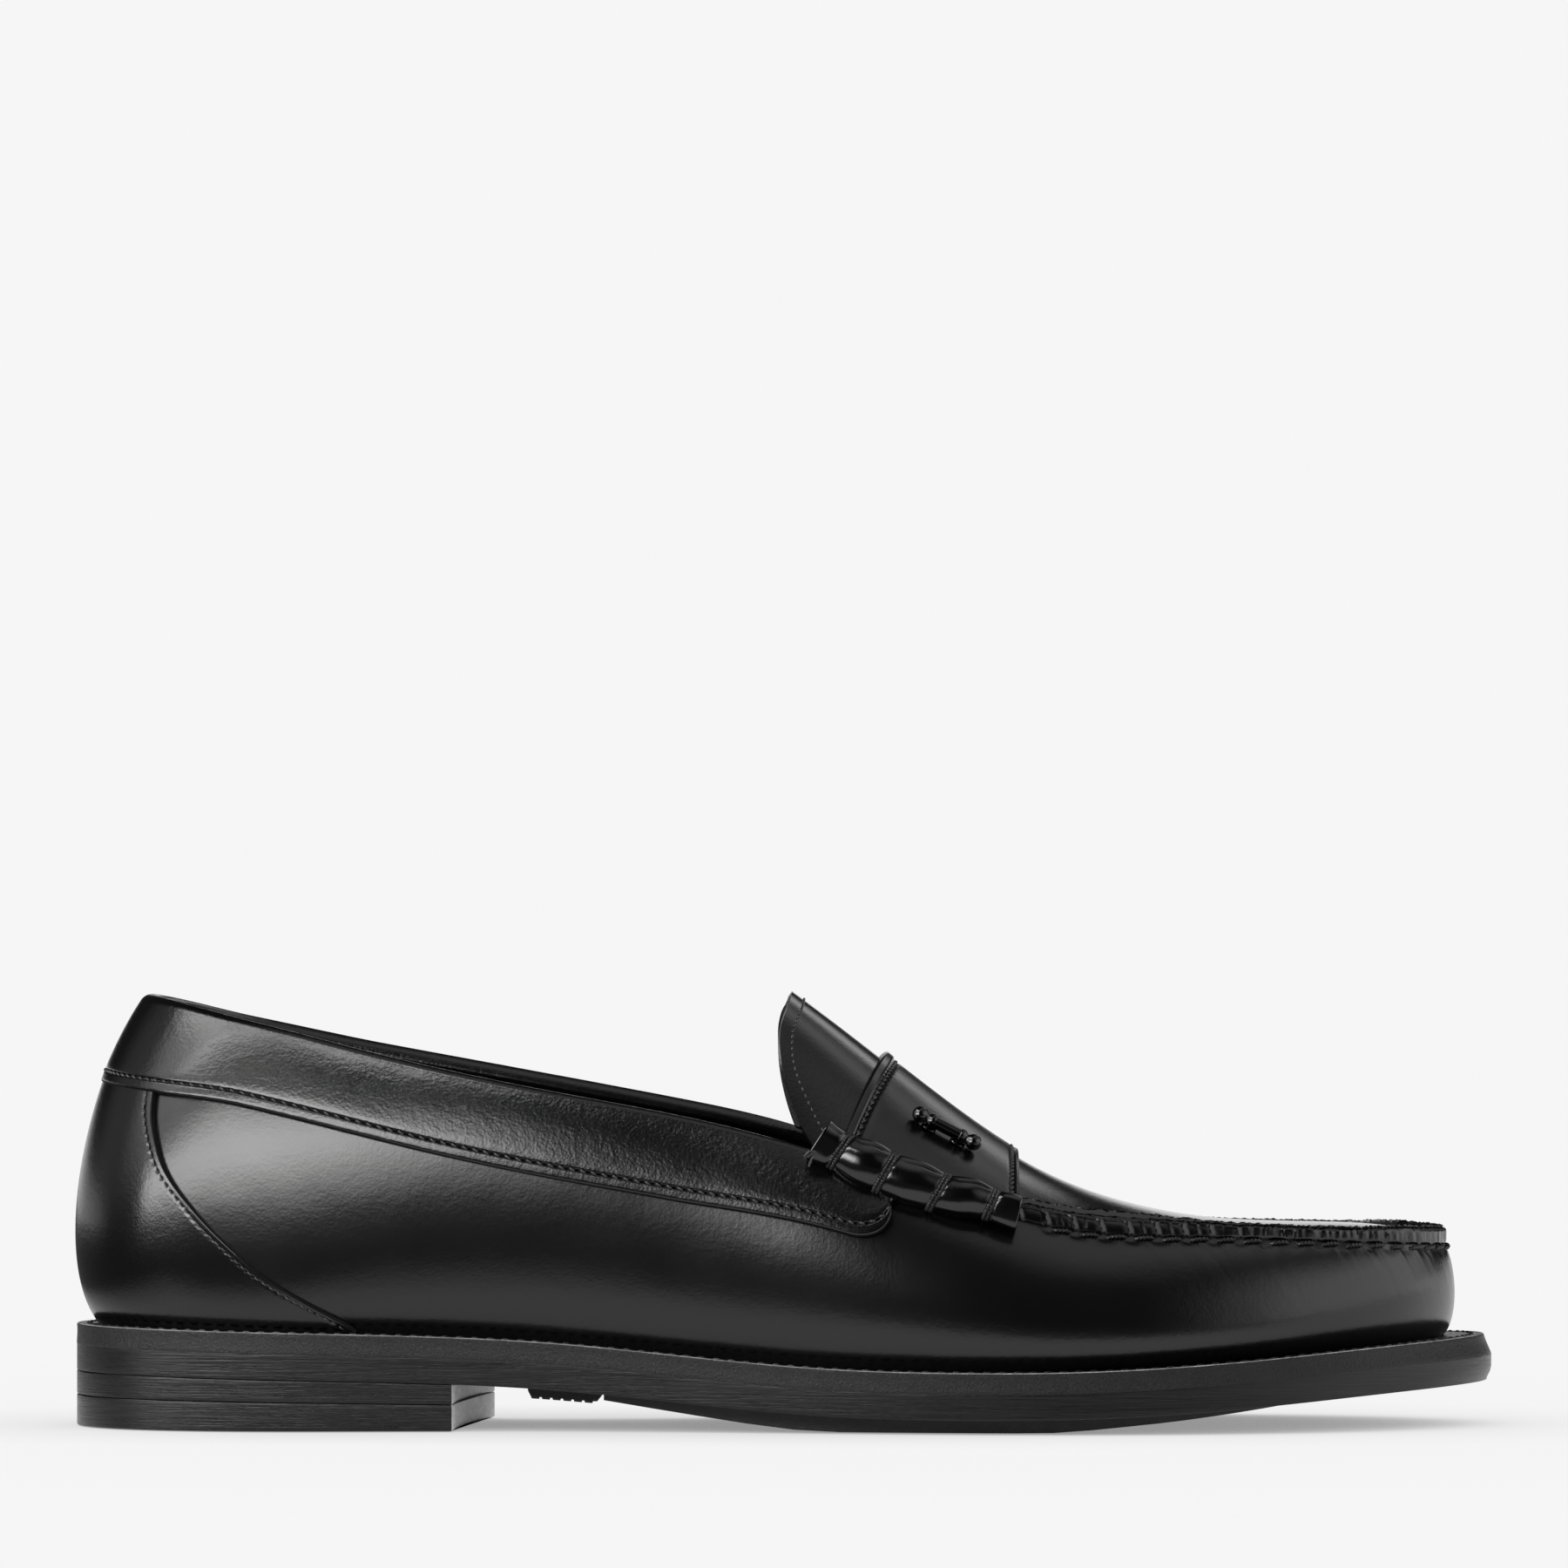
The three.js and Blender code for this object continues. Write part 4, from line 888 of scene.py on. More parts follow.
def build_linings():
    def wall_sheet(name, start, end, count, high, node, depth=(-3.2, -4.1), material=LINING,
                   slot="lining"):
        """A layer inside the wall, from its foot to a distance below the wall's edge."""
        u = np.linspace(start, end, count)
        foot = wall_length(u)[:, None] - 1.2
        s = foot + (high(upperEdge(u)[:, :1]) - foot) * np.linspace(0, 1, 26)
        shell(name, *[wall_at(u, s, d)[0] for d in depth], material, slot, [node])

    def ends(x, turn):
        """u on both sides of the heel (turn 1) or of the toe (turn 0)."""
        inner, outer = u_at_x(upperEdge, 1, x) - turn, u_at_x(upperEdge, -1, x)
        return (inner, outer) if turn else (outer, inner)

    board = dict(depth=(-1.7, -2.8), material=FIBRE, slot="fibre")
    back, front = ends(LINING_SPLIT, 1)
    wall_sheet("quarter_lining_leather", back, front, 300,
               lambda x: 11.0 - 7.5 * smooth(x, 6, 16), "quarter_lining")
    wall_sheet("heel_stiffener_board", *ends(-70.0, 1), 160, lambda x: 22, "heel_stiffener",
               **board)
    wall_sheet("toe_puff_board", *ends(92.0, 0), 160, lambda x: 4.5, "toe_puff", **board)
    wall_sheet("vamp_lining_leather", front + 0.0005, back + 1 - 0.0005, 260, lambda x: 3.0,
               "vamp_lining")
    x = np.linspace(0.6, 124, 150)
    v = np.linspace(-0.93, 0.93, 61)
    shape = -1.0 - 14 * v ** 2 + 16.5 * v ** 4
    x = x[:, None] + (shape + 2.6)[None] * (1 - smooth(x, 0, 30))[:, None]
    shell("tongue_lining_leather", *[instep_at(x, v, d)[0] for d in (-1.35, -2.3)], LINING,
          "lining", ["tongue_lining"])
    inset = 4.75
    slab("sock_liner_leather", lambda u, share: inset + swell(u)[:, 0],
         lambda x: weltTop(x) + 3.9, lambda x: weltTop(x) + 3.1,
         LINING, "lining", ["sock_liner"], round_off=0.3)


# ---------------------------------------------------------------- the sole


def loop_u(n=720):
    """u round the whole shoe, with places on the outer half facing those on the inner half."""
    t = np.linspace(0, 1, n // 2 + 1)
    return np.concatenate([t * U_TOE, (1 - (1 - U_TOE) * t)[::-1][1:-1]])


def layer(name, ring_at, top, under, round_off, share_ends, *rest):
    """A layer of the sole between two heights, its edges rounded off. ring_at(inset, share)
    gives its outline moved in by an inset, at a share of the way from its top to its underside."""
    turn = np.linspace(0, math.pi / 2, 5)
    soft = [(round_off * (1 - math.sin(q)), round_off * (1 - math.cos(q))) for q in turn]
    stack = [(*q, 0.0) for q in soft] + [(0.0, 0.0, k) for k in np.linspace(*share_ends, 5)]
    stack += [(*q, 1.0) for q in soft[::-1]]
    rows = []
    for inset, drop, share in stack:
        p = ring_at(inset, share)
        high, low = top(p[:, 0]), under(p[:, 0])
        p[:, 2] = {0.0: high - drop, 1.0: low + drop}.get(share, high + (low - high) * share)
        rows.append(p)
    r, n = len(rows), len(rows[0])
    faces = [quads(r, n, turned=True)]
    # The flat sides join each place of the ring to the one that faces it.
    i = np.arange(1, n // 2 - 1)
    for start, turned in ((0, False), ((r - 1) * n, True)):
        across = start + np.stack([i, i + 1, n - i - 1, n - i], 1)
        tips = start + np.array([[0, 1, n - 1], [n // 2, n // 2 + 1, n // 2 - 1]])
        faces += [q if turned else q[:, ::-1] for q in (across, tips)]
    return put(name, np.stack(rows, 0), faces, *rest)


def slab(name, inset_at, top, under, material, slot, nodes, round_off):
    """A layer that goes all round the sole; inset_at(u, share) is its place inside the outline."""
    u = loop_u()
    layer(name, lambda inset, share: outline(u, inset_at(u, share) + inset), top, under,
          round_off, (0.12, 0.88), material, slot, nodes, 40)


def toe_slant(u):
    """1 where the sole's edge slants inwards at the toe."""
    return smooth(outline(u, 0)[:, 0], 116, 147)


def build_welt():
    """The welt is a ring, open in the middle, with a rounded outer edge."""
    u = loop_u(900)
    turn = np.linspace(0, math.pi / 2, 6)
    upper, under = 0.4, 0.12  # radii of its outer edge
    stitch_line = 2.4
    places = [(inset, 0.0) for inset in (14, 10, 7.5, 5.5, 4, 3.3)]
    places += [(2.9, 0.1), (stitch_line, 0.22), (1.9, 0.1), (1.4, 0.0)]
    places += [(upper * (1 - math.sin(q)), upper * (1 - math.cos(q))) for q in turn]
    places += [(0.06 * math.sin(k), k) for k in (1.0, 1.7, 2.4, 3.1, 3.8, 4.2)]
    places += [(under * (1 - math.sin(q)), WELT - under * (1 - math.cos(q))) for q in turn[::-1]]
    places += [(inset, WELT) for inset in (5, 14)]
    rows = []
    for inset, drop in places:
        p = outline(u, inset + 1.7 * toe_slant(u) * (1 - drop / WELT))
        p[:, 2] = weltTop(p[:, 0]) - drop
        rows.append(p)
    obj = rings("welt_leather", np.stack(rows, 1), [WELT_EDGE, WELT_RIM_PAINTED_HIGHLIGHT], "sole_edge", ["welt"],
                closed=True, sharp=50)
    # The rows round the welt's upper edge take the light rim colour, a painted highlight.
    mark(obj, len(rows), lambda i, j: (j > 9) & (j < 13))
    t = np.linspace(0.002, 0.998, 3000)
    line = outline(t, stitch_line + 1.7 * toe_slant(t))
    line[:, 2] = weltTop(line[:, 0]) - 0.15
    stitch_row("welt_stitches", Row(line, np.broadcast_to(UP, line.shape)), 3.2, WAXED,
               "welt_thread", long=0.8, radius=0.3, lift=0.0)


def heel_piece(name, top, under, node):
    """A layer of the heel block, with its front cut off at the breast."""
    ends = [u_at_x(soleEdge, side, x) for side, x in zip((-1, 1), BREAST)]
    na, front_n = 150, 31  # places along each side and across the hollow front
    u = np.concatenate([np.linspace(0, ends[0], na), np.linspace(1, ends[1], na)[::-1][:-1]])
    w = np.linspace(0, 1, front_n + 2)[1:-1]

    def ring_at(inset, share):
        p = outline(u, inset * np.ones_like(u))
        p[na - 1 : na + 1, 0] -= inset
        a, b = p[na - 1], p[na]
        front = a + (b - a) * w[:, None]
        front[:, 0] -= 1.3 * np.sin(math.pi * w)
        return np.concatenate([p[:na], front, p[na:]])

    obj = layer(name, ring_at, top, under, 0.3, (0.15, 0.85), [SOLE_EDGE, HEEL_FACE], "sole_edge",
                [node], 45)
    n = len(u) + front_n
    mark(obj, n, lambda i, j: (i < 14) & (j >= na - 1) & (j <= na + front_n - 1))


def build_sole():
    build_welt()
    slab("outsole_leather", lambda u, share: toe_slant(u) * smooth(share, 0.35, 1.0) ** 2,
         lambda x: outsoleTop(x) + GAP - 0.05, outsoleUnder, SOLE_EDGE, "sole_edge", ["outsole"],
         round_off=0.16)
    heel_piece("heel_lift_layer", lambda x: outsoleUnder(x) - 0.05, liftUnder, "heel_lift")
    heel_piece("heel_top_layer", lambda x: liftUnder(x) - 0.05, lambda x: 0 * x, "heel_top_piece")


def build_waist_tread():
    """A ribbed rubber patch under the waist, just ahead of the heel."""
    x, depth = [-54.4, -54.2], [0.3, 1.5]
    for k in range(6):
        start = -53.6 + 2.25 * k
        x += [start, start + 0.15, start + 1.7, start + 1.85]
        depth += [2.6, 3.0, 3.0, 2.6]
    x, depth = np.array(x + [-39.6, -38.6, -38.4]), np.array(depth + [2.5, 1.2, 0.3])
    half, soft = 14.0, 0.5
    top = outsoleUnder(x) - 0.05
    low = top - depth
    ease = low + np.minimum(soft, depth * 0.4)
    section = [(-half, top), (half, top), (half, ease), (half - soft, low), (-half + soft, low),
               (-half, ease)]
    grid = np.stack([np.stack([x, np.full_like(x, y), z], -1) for y, z in section], 1)
    rings("waist_tread_rubber", grid, RUBBER, "rubber", ["waist_tread"], sharp=30)


build_linings()
build_sole()
build_waist_tread()

# ---------------------------------------------------------------- saddle strap

ROLL = Curve([7.3, 11.9, 16.5, 21.35, 26.8, 32.3, 38, 43.25, 46.3, 49.1],
             [(61.1, 5.0, 33), (58.75, 4.2, 33), (56.4, 5.1, 31), (54.2, 4.8, 29), (52.1, 5.05, 30),
              (50.2, 4.4, 30), (48.9, 4.5, 27), (47.65, 3.4, 24), (46.7, 3.6, 18),
              (45.7, 3.65, 12)])
ROLL_X = (7.3, 49.1)
WRAP_X = (11.9, 21.35, 32.3, 43.25)


def roll_frame(side, x):
    """Centre of a roll, its half height, and its outward, upward and forward directions."""
    z, half, tilt = np.moveaxis(ROLL(x), -1, 0)
    u = u_at_x(upperEdge, side, x)
    edge = upperEdge(u)
    out = plan_out(upperEdge, u)
    centre = edge + out * 3.4
    # The inner roll is higher by as much as the topline is there.
    centre[..., 2] = z + edge[..., 2] - upperEdge(u_at_x(upperEdge, -1, x))[..., 2]
    tilt = np.radians(tilt)
    up = np.stack([np.sin(tilt), 0 * tilt, np.cos(tilt)], -1)
    return centre, half, out, up


def build_strap():
    """The strap runs over the instep and down behind the roll on each side."""
    edge_v = 0.9  # past this place it leaves the instep's skin
    back_seam, front_seam = 2.5, 1.6  # from its edges to its stitches
    m = np.array([0, .06, .16, .3, .5, .75, 1.0, 1.25, 1.5, 1.7, 1.9, 2.1, 2.3, 2.6, 3.0, 3.6])
    inner = np.linspace(4.4, 20, 22)
    front = np.array([2.6, 2.2, 1.9, 1.7, 1.5, 1.25, 1.0, .75, .5, .3, .16, .06, 0])
    v = np.concatenate([np.linspace(-1.18, -0.91, 14), np.linspace(-edge_v, edge_v, 150),
                        np.linspace(0.91, 1.18, 14)])
    xb = (20.2 - 9.4 * np.clip(v, -1, 1) ** 2)[:, None]
    stretch = (STRAP_FRONT - xb - 3.6 - 3.0) / (20 - 3.6)
    X = np.concatenate([xb + m, xb + 3.6 + (inner - 3.6) * stretch,
                        STRAP_FRONT - front + 0 * xb], 1)
    mb, mf = X - xb, STRAP_FRONT - X
    V = np.broadcast_to(v[:, None], X.shape)
    base, normal = instep_at(X, np.clip(V, -edge_v, edge_v), 0.0)
    # Past the seam the strap bends down towards the roll.
    for side in (-1, 1):
        rows = np.where(v * side > edge_v)[0]
        q = ((np.abs(v[rows]) - edge_v) / 0.28)[:, None, None]
        start, n0 = instep_at(X[rows], edge_v * side, 0.0)
        slope = start - instep_at(X[rows], (edge_v - 0.02) * side, 0.0)[0]
        centre, half, out, up = roll_frame(side, np.clip(X[rows], *ROLL_X))
        end = centre - out * 1.2 + up * (half * 0.55)[..., None]
        end[..., 0] = X[rows]
        control = start + slope * 5.4
        base[rows] = (1 - q) ** 2 * start + 2 * q * (1 - q) * control + q * q * end
        lean = unit(out * [0, 0.8, 0] + [0, 0, 0.6])
        normal[rows] = unit(n0 * (1 - q) + lean * q)
    fold = 0.5 * (1 - smooth(mb, 1.5, 2.3))
    pb, pf = (pucker(run_length(base[:, k])[:, None], FINE_PITCH) for k in (0, -1))
    groove = np.exp(-((mb - back_seam) / 0.45) ** 2) * (0.4 + 0.35 * pb) \
        + np.exp(-((mf - front_seam) / 0.45) ** 2) * (0.3 + 0.35 * pf)
    edge = rounding(np.minimum(mb, mf), 0.4)
    tuck = 1 - 0.75 * smooth(np.abs(V), 1.0, 1.14)
    d = 0.3 + (1.25 + fold) * (0.25 + 0.75 * edge) * tuck - groove * tuck
    shell("saddle_strap_leather", base + normal * d[..., None], base + normal * 0.1, CALF_FRONT,
          "box_calf", ["saddle_strap"], sharp=50)
    seen = np.where(np.abs(v) < 1.04)[0]
    for name, x in (("back", xb[:, 0] + back_seam), ("front", 0 * v + STRAP_FRONT - front_seam)):
        p, n = (np.array([pick(x[i], X[i], q[i]) for i in seen]) for q in (base, normal))
        n = unit(n)
        stitch_row(f"strap_stitches_{name}", Row(p + n * 1.22, n), FINE_PITCH, THREAD,
                   f"strap_thread_{name}", long=0.74, radius=0.27, lift=0.1, slant=0.55)


build_strap()

# ---------------------------------------------------------------- tongue stitches


def build_hem():
    v = np.linspace(-0.95, 0.95, 400)
    x = TONGUE(np.abs(v)) + 2.5 + 2.4 * smooth(np.abs(v), 0.7, 1.0)
    stitch_row("tongue_stitches", Row(*instep_at(x, v, 0.0)), 1.75, THREAD, "tongue_thread",
               long=0.74, radius=0.24, lift=0.08, slant=0.2)


build_hem()

# ---------------------------------------------------------------- beef rolls


def build_roll(side, label):
    """A rolled leather, pinched by its wraps, with flat tabs and stepped ends."""
    ease = np.array([0, 0.05, 0.15, 0.35])
    x = np.concatenate([ROLL_X[0] + ease, np.arange(ROLL_X[0] + 0.6, ROLL_X[1] - 0.5, 0.32),
                        ROLL_X[1] - ease[::-1]])
    centre, half, out, up = roll_frame(side, x)
    half = half[:, None]
    th = np.linspace(0, 2 * math.pi, 64, endpoint=False)
    c, s, deg = np.cos(th), np.sin(th), np.degrees(th)
    to_wrap = np.min(np.abs(x[:, None] - np.array(WRAP_X)), 1)[:, None]
    pinch = np.exp(-(to_wrap / 0.65) ** 2)
    between = 1 - np.exp(-(to_wrap / 2.2) ** 2)
    inside = (x[:, None] > WRAP_X[0]) & (x[:, None] < WRAP_X[-1])
    tab = 1 - smooth(x[:, None], 10.5, 12.5) + smooth(x[:, None], 43.4, 45)
    power = 2.0 + 1.6 * tab
    rho = (np.abs(c) ** power + np.abs(s) ** power) ** (-1 / power)
    lobe, groove, low_groove = (np.exp(-((deg - at) / wide) ** 2)
                                for at, wide in ((78, 11), (62, 4.5), (305, 6)))
    lip = (lobe * 0.2 - groove * 0.5 - low_groove * 0.25) * between * inside
    end = np.minimum(x - x[0], x[-1] - x)[:, None]
    soft = rounding(end, 0.35) * 0.35 + (half - 0.35)
    depth = half * (0.86 + 0.04 * between)
    radial_up = rho * (soft - pinch * 0.5) + lip
    radial_out = rho * (depth * soft / half - pinch * 0.35) + lip * 0.4
    grid = centre[:, None] + out[:, None] * (c * radial_out)[..., None] \
        + up[:, None] * (s * radial_up)[..., None]
    n, r = grid.shape[:2]
    faces, rows = [quads(n, r)], [grid.reshape(-1, 3)]
    # The leather is rolled up, so its cut ends show a step inwards.
    steps = ((0.82, 0.0), (0.74, -0.5), (0.66, -0.45), (0.6, 0.0), (0.48, 0.0), (0.42, -0.5),
             (0.3, -0.4), (0.12, -0.3))
    place = np.arange(r)
    total = n * r
    for at, before, turn in ((n - 1, -3, 1), (0, 2, -1)):
        way = unit(centre[at] - centre[before])
        previous = at * r + place
        for share, push in steps:
            rows.append(centre[at] + (grid[at] - centre[at]) * share + way * push)
            ring = total + place
            f = np.stack([previous, np.roll(previous, -1), np.roll(ring, -1), ring], 1)
            faces.append(f[:, ::turn])
            previous, total = ring, total + r
        faces.append(previous[None, ::turn])
    put(f"beef_roll_{label}_leather", np.concatenate(rows), faces, ROLLED, "box_calf",
        [f"beef_roll_{label}"], 50)
    for k, wx in enumerate(WRAP_X):
        build_wrap(side, f"roll_wrap_{label}_{k + 1}", wx)


def build_wrap(side, node, wx):
    """Two turns of waxed, twisted thread bound tightly round the roll."""
    th = np.linspace(0, 2 * math.pi, 150, endpoint=False)
    strands = []
    for offset in (-0.37, 0.37):
        centre, half, out, up = roll_frame(side, np.full(len(th), wx + offset))
        rise, wide = (half - 0.16)[:, None], (half * 0.87 - 0.01)[:, None]
        c, s = np.cos(th)[:, None], np.sin(th)[:, None]
        p = centre + out * (c * wide) + up * (s * rise)
        n = unit(out * (c / wide) + up * (s / rise))
        strands.append((p, n, np.cross(unit(np.roll(p, -1, 0) - np.roll(p, 1, 0)), n)))
    centre, normal, across = (np.stack(q) for q in zip(*strands))
    step = np.linalg.norm(np.diff(centre, axis=1, append=centre[:, :1]), axis=2)
    arc = np.cumsum(step, 1)
    turns = np.round(arc[:, -1:] / 1.25)  # a whole number of twists round the roll
    points, faces = tubes(centre, normal, across, np.full(arc.shape, 0.45), 10, 1.0, 1.0,
                          arc * turns / arc[:, -1:], closed=True)
    put(f"{node}_thread", points, faces, WAXED, "thread", [node], 60)


for side, label in ((-1, "outer"), (1, "inner")):
    build_roll(side, label)

# ---------------------------------------------------------------- hand-sewn apron seam


def build_apron_seam():
    """Each stitch is a length of twisted cord along the foot of the ridge."""
    u = np.linspace(*[u_at_x(upperEdge, side, 50.5) for side in (-1, 1)], 2400)
    a = edge_arc(u)
    p, n = (q[:, 0] for q in wall_at(u, np.full((len(u), 1), 0.55), 0.0))
    n = unit(n + plan_out(upperEdge, u) * 0.6)
    w = np.linspace(0, 1, 30)
    starts = (np.arange(math.ceil(a[0] / PITCH), math.floor(a[-1] / PITCH)) + 0.10) * PITCH
    arc = starts[:, None] + w * PITCH * 0.80
    jitter = np.random.default_rng(7).uniform(-0.12, 0.12, (len(starts), 2))
    centre, normal = pick(arc, a, p), unit(pick(arc, a, n))
    across = np.cross(unit(np.gradient(centre, axis=1)), normal)
    slant = (0.55 * (0.5 - w))[None] + jitter[:, :1]
    rise = 0.34 - 0.95 * np.abs(2 * w - 1) ** 3.5
    centre = centre + normal * rise[None, :, None] + across * slant[..., None]
    radius = np.broadcast_to(0.47 * (1 - 0.35 * np.abs(2 * w - 1) ** 4), arc.shape)
    put("apron_stitches", *tubes(centre, normal, across, radius, 10, 0.9, 1.7, arc), WAXED,
        "thread", ["apron_thread"], 60)


build_apron_seam()


def build_loose_ends():
    """Two trimmed ends of the first wrap's thread, behind the outer roll."""
    (centre,), (half,), (out,), (up,) = roll_frame(-1, np.array([9.2]))
    start = centre + out * half * 0.75 - up * half * 0.55
    w = np.linspace(0, 1, 16)[:, None]
    centre = np.stack([
        start + np.array([ahead, 0, droop]) * w + out * stand * np.sin(w * 2.6)
        + UP * 1.1 * np.sin(w * math.pi)
        for ahead, droop, stand in ((-3.2, -0.4, 0.9), (-2.2, -2.4, 0.7))])
    step = np.gradient(centre, axis=1)
    ahead = unit(step)
    side = unit(np.cross(ahead, np.broadcast_to(out, centre.shape)))
    arc = np.cumsum(np.linalg.norm(step, axis=2), 1)
    radius = np.broadcast_to(0.25 + 0.05 * np.sin(w[:, 0] * 9), arc.shape)
    put("roll_loose_ends_thread",
        *tubes(centre, np.cross(side, ahead), side, radius, 9, 0.8, 1.2, arc), THREAD, "thread",
        [], 60)


build_loose_ends()

# ---------------------------------------------------------------- ornament


def turned_piece(name, profile_points, origin, axis, nodes, sides=40):
    """A turned piece: (distance along the axis, radius) pairs round a line."""
    across = unit(np.cross(axis, UP if abs(axis[2]) < 0.9 else [0, 1.0, 0]))
    along, radius = np.array(profile_points, float).T[:, :, None, None]
    th = np.linspace(0, 2 * math.pi, sides, endpoint=False)[:, None]
    round_it = np.cos(th) * across + np.sin(th) * np.cross(axis, across)
    grid = origin + along * axis + radius * round_it
    n, r = grid.shape[:2]
    faces = [quads(n, r), np.arange(r)[None, ::-1], (np.arange(r) + (n - 1) * r)[None]]
    put(name, grid, faces, GUNMETAL, "gunmetal", nodes, 35)


def build_ornament():
    """A plain rounded bar between two round studs, held by two posts through the strap."""
    (seat, point), (up, _) = instep_at(np.array([32.6, 34.0]), -0.66, 0.0)
    ahead = unit(unit(point - seat) + UP * 0.22)
    ahead = unit(ahead - up * np.dot(ahead, up))
    ball_at, ball = -6.3, 1.75
    half = [(ball_at - ball * math.cos(q), max(ball * math.sin(q), 0.02))
            for q in np.linspace(0.0, 2.5, 14)]
    half += [(-4.6, 0.95), (-4.3, 1.15), (-3.9, 1.45), (-3.4, 1.55), (-3.1, 1.5), (-2.9, 1.3),
             (-2.4, 1.3)]
    bar = half + [(0, 1.34)] + [(-along, radius) for along, radius in half[::-1]]
    turned_piece("ornament_bar_metal", bar, seat + up * 3.5, ahead, ["ornament_bar"])
    post = [(0.4, 0.8), (1.7, 0.8), (1.75, 1.5), (1.95, 1.75), (2.15, 1.6), (2.3, 0.85), (2.9, 0.8),
            (3.3, 0.8)]
    for k, along in enumerate((-3.4, 3.4)):
        turned_piece(f"ornament_post_{k + 1}_metal", post, seat + ahead * along, up,
                     [f"ornament_post_{k + 1}"], 28)


build_ornament()

# ---------------------------------------------------------------- carried-over CAD nodes

CARRIED = {"forefoot_tread": RUBBER, "cork_filler": CORK, "steel_shank": STEEL,
           "insole_board": BOARD, **{f"heel_nail_{k}": STEEL for k in range(1, 6)}}
for node, material in CARRIED.items():
    mesh = NODES[node].data
    mesh.materials.clear()
    mesh.materials.append(material)

# ---------------------------------------------------------------- stage, light and camera

WHITE = (1, 1, 1, 1)
GROUND_LIGHT = 0.92
PAINTED_SHADOW_LEFT = 0.32  # how much of the floor's glow the painted shadow leaves in the deepest corner
FLOOR_GLOW = 0.97  # how much of the floor near the shoe glows by itself


def staged(name, points, faces, material):
    mesh = bpy.data.meshes.new(name)
    mesh.from_pydata(points, [], faces)
    mesh.materials.append(material)
    obj = bpy.data.objects.new(name, mesh)
    bpy.context.scene.collection.objects.link(obj)
    return obj


def build_stage():
    """A pale floor that glows evenly, with a painted shadow from ambient occlusion where the shoe
    stands close.
    """

    def look(n, where):
        x, y, _ = n.xyz(where)
        x2, y2 = n.math("POWER", x, 2.0), n.math("POWER", y, 2.0)
        far = n.math("SQRT", n.math("ADD", x2, y2))
        fine = n.noise(where, 120, 3, 0.5)
        matt = n.mixed(fine, grey(0.80), grey(0.82))
        matt = n.add("ShaderNodeBsdfDiffuse", {"Color": matt})
        # Ambient occlusion darkens the floor's glow near the shoe: a painted shadow.
        near = n.add("ShaderNodeAmbientOcclusion", {"Distance": 0.07}, "AO", samples=12)
        painted_shadow_glow = n.math("MULTIPLY_ADD", n.math("POWER", near, 0.5),
                     (1 - PAINTED_SHADOW_LEFT) * GROUND_LIGHT, PAINTED_SHADOW_LEFT * GROUND_LIGHT)
        glow = n.glow(WHITE, painted_shadow_glow)
        fade = n.spread(far, 0.16, 0.4, FLOOR_GLOW, 1.0)
        paper = n.add("ShaderNodeMixShader", {0: fade, 1: matt, 2: glow})
        # In reflections the table ends in front of the shoe and on its left; past it is dark.
        dark = n.glow(grey(0.07), 1.0)
        reach, side = n.times(y, -1.0), n.times(x, -0.35)
        front = n.spread(n.math("ADD", reach, side), 0.12, 0.18, 0, 1)
        left = n.spread(x, -0.24, -0.17, 1, 0)
        past = n.math("MAXIMUM", front, left)
        unseen = n.times(past, n.math("SUBTRACT", 1.0, n.seen_by_camera()))
        return n.add("ShaderNodeMixShader", {0: unseen, 1: paper, 2: dark})

    size, cells, below = 4.0, 8, -0.0002
    line = [(i / cells * 2 - 1) * size for i in range(cells + 1)]
    floor = staged("floor", [(x, y, below) for x in line for y in line],
                   quads(cells + 1, cells + 1, (False, False)).tolist(),
                   surface("floor_paper", look))


# Lamps of the studio: azimuth from the camera's side and elevation, each from and to, with
# the softness of both edges, in degrees, and the brightness.
LAMPS = (
    (40, 118, -14, 42, 14, 12, 1.35),  # soft wall on the right
    (150, 163, 23, 36, 6, 5, 1.5),     # behind on the right
    (118, 152, 42, 56, 12, 7, 0.9),    # higher and dimmer there
    (-125, -82, 0, 45, 12, 12, 0.25),  # on the left
    (-100, -34, 44, 57, 12, 5, 7.0),   # high on the left, behind the heel
    (-90, -58, 14, 44, 10, 8, 2.0),    # low on the left, behind the heel
    (-20, 140, 60, 90, 30, 10, 0.6),   # ceiling
)


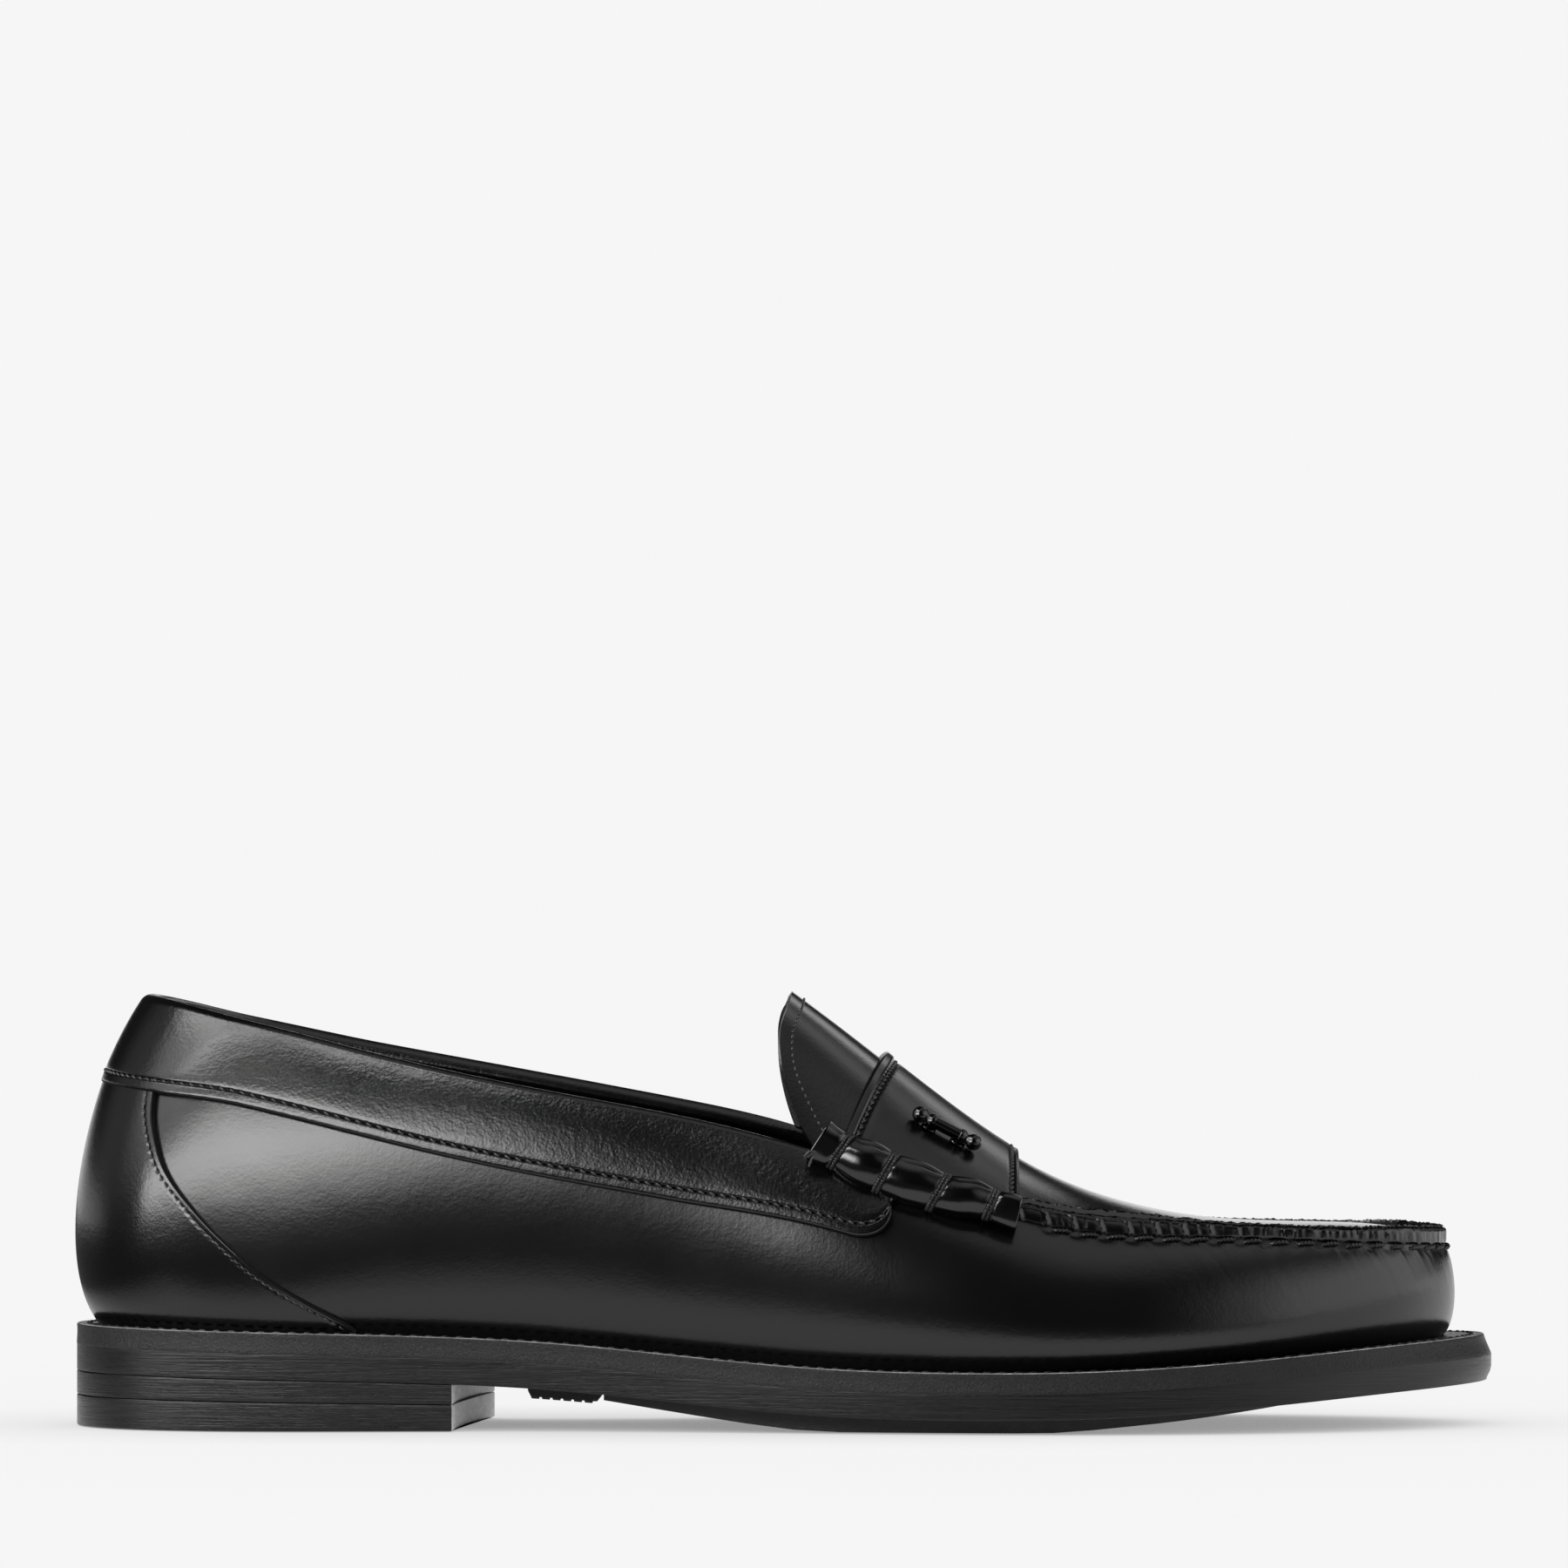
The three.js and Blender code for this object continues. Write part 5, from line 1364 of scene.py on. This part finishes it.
def build_world():
    """A studio: pale paper for the camera, and for reflections a dark room with soft lamps."""
    world = bpy.data.worlds.new("studio")
    bpy.context.scene.world = world
    world.use_nodes = True
    n = Nodes(world.node_tree)
    x, y, z = n.xyz(n.add("ShaderNodeTexCoord", output="Generated"))
    az = n.times(n.math("ARCTAN2", x, n.times(y, -1.0)), 180 / math.pi)
    el = n.times(n.math("ARCSINE", z), 180 / math.pi)

    def window(value, low, high, soft):
        return n.times(n.spread(value, low - soft, low + soft, 0, 1),
                       n.spread(value, high - soft, high + soft, 1, 0))

    # The paper behind shows only at the horizon, and a little higher straight behind.
    horizon = n.times(window(el, -5, 4, 2), n.spread(y, 0.2, 0.5, 0, 0.85))
    behind = n.times(window(x, -0.09, 0.09, 0.03), n.spread(y, 0.2, 0.5, 0, 1.1))
    horizon = n.math("MAXIMUM", horizon, n.times(window(el, -5, 13, 2), behind))
    total = n.math("ADD", horizon, 0.02)
    for az0, az1, el0, el1, soft_az, soft_el, power in LAMPS:
        both = n.times(window(az, az0, az1, soft_az), window(el, el0, el1, soft_el))
        total = n.math("ADD", total, n.times(both, power))
    strength = n.add("ShaderNodeMix", {0: n.seen_by_camera(), 2: total, 3: GROUND_LIGHT},
                     data_type="FLOAT")
    back = n.add("ShaderNodeBackground", {"Color": WHITE, "Strength": strength})
    n.add("ShaderNodeOutputWorld", {"Surface": back})


def panel(name, x, z, wide, tall, power, edge):
    """A soft box: a glowing panel beside the camera that only reflections see."""

    def look(n, where):
        across, upward = (n.math("ABSOLUTE", q) for q in n.xyz(where)[:2])
        soft = n.times(n.spread(across, w - edge, w, 1, 0.0), n.spread(upward, h - edge, h, 1, 0.0))
        uneven = n.spread(n.noise(where, 8, 2, 0.5), 0, 1, power * 0.94, power * 1.06)
        return n.glow(WHITE, n.times(soft, uneven))

    w, h = wide / 2, tall / 2
    obj = staged(name, [(-w, -h, 0), (w, -h, 0), (w, h, 0), (-w, h, 0)], [(0, 1, 2, 3)],
                 surface(name + "_glow", look))
    obj.location = (x, -0.24, z)
    obj.rotation_euler = Vector((0, 1, 0)).to_track_quat("-Z", "Y").to_euler()
    obj.visible_camera = False
    obj.visible_diffuse = False
    obj.visible_shadow = False


build_stage()
build_world()
panel("key_box", -0.42, 0.133, 0.75, 0.150, 10.5, 0.06)
panel("strip_box", -0.335, 0.35, 0.60, 0.08, 18.0, 0.035)
panel("fill_box", -0.40, 0.29, 0.56, 0.14, 1.6, 0.05)

CAMERA_FROM = (-0.00018, -3.0, 0.1356)
FRAME_WIDE = 0.3325  # width of the picture at the shoe's midline, in metres
SENSOR = 36
camera_data = bpy.data.cameras.new("camera")
camera_data.sensor_width = SENSOR
camera_data.lens = SENSOR * -CAMERA_FROM[1] / FRAME_WIDE
camera_data.clip_start, camera_data.clip_end = 0.1, 50
camera = bpy.data.objects.new("camera", camera_data)
camera.location = CAMERA_FROM
camera.rotation_euler = (math.pi / 2, 0, 0)
bpy.context.scene.collection.objects.link(camera)
bpy.context.scene.camera = camera
bpy.context.scene.view_settings.view_transform = "Standard"

bpy.context.view_layer.update()
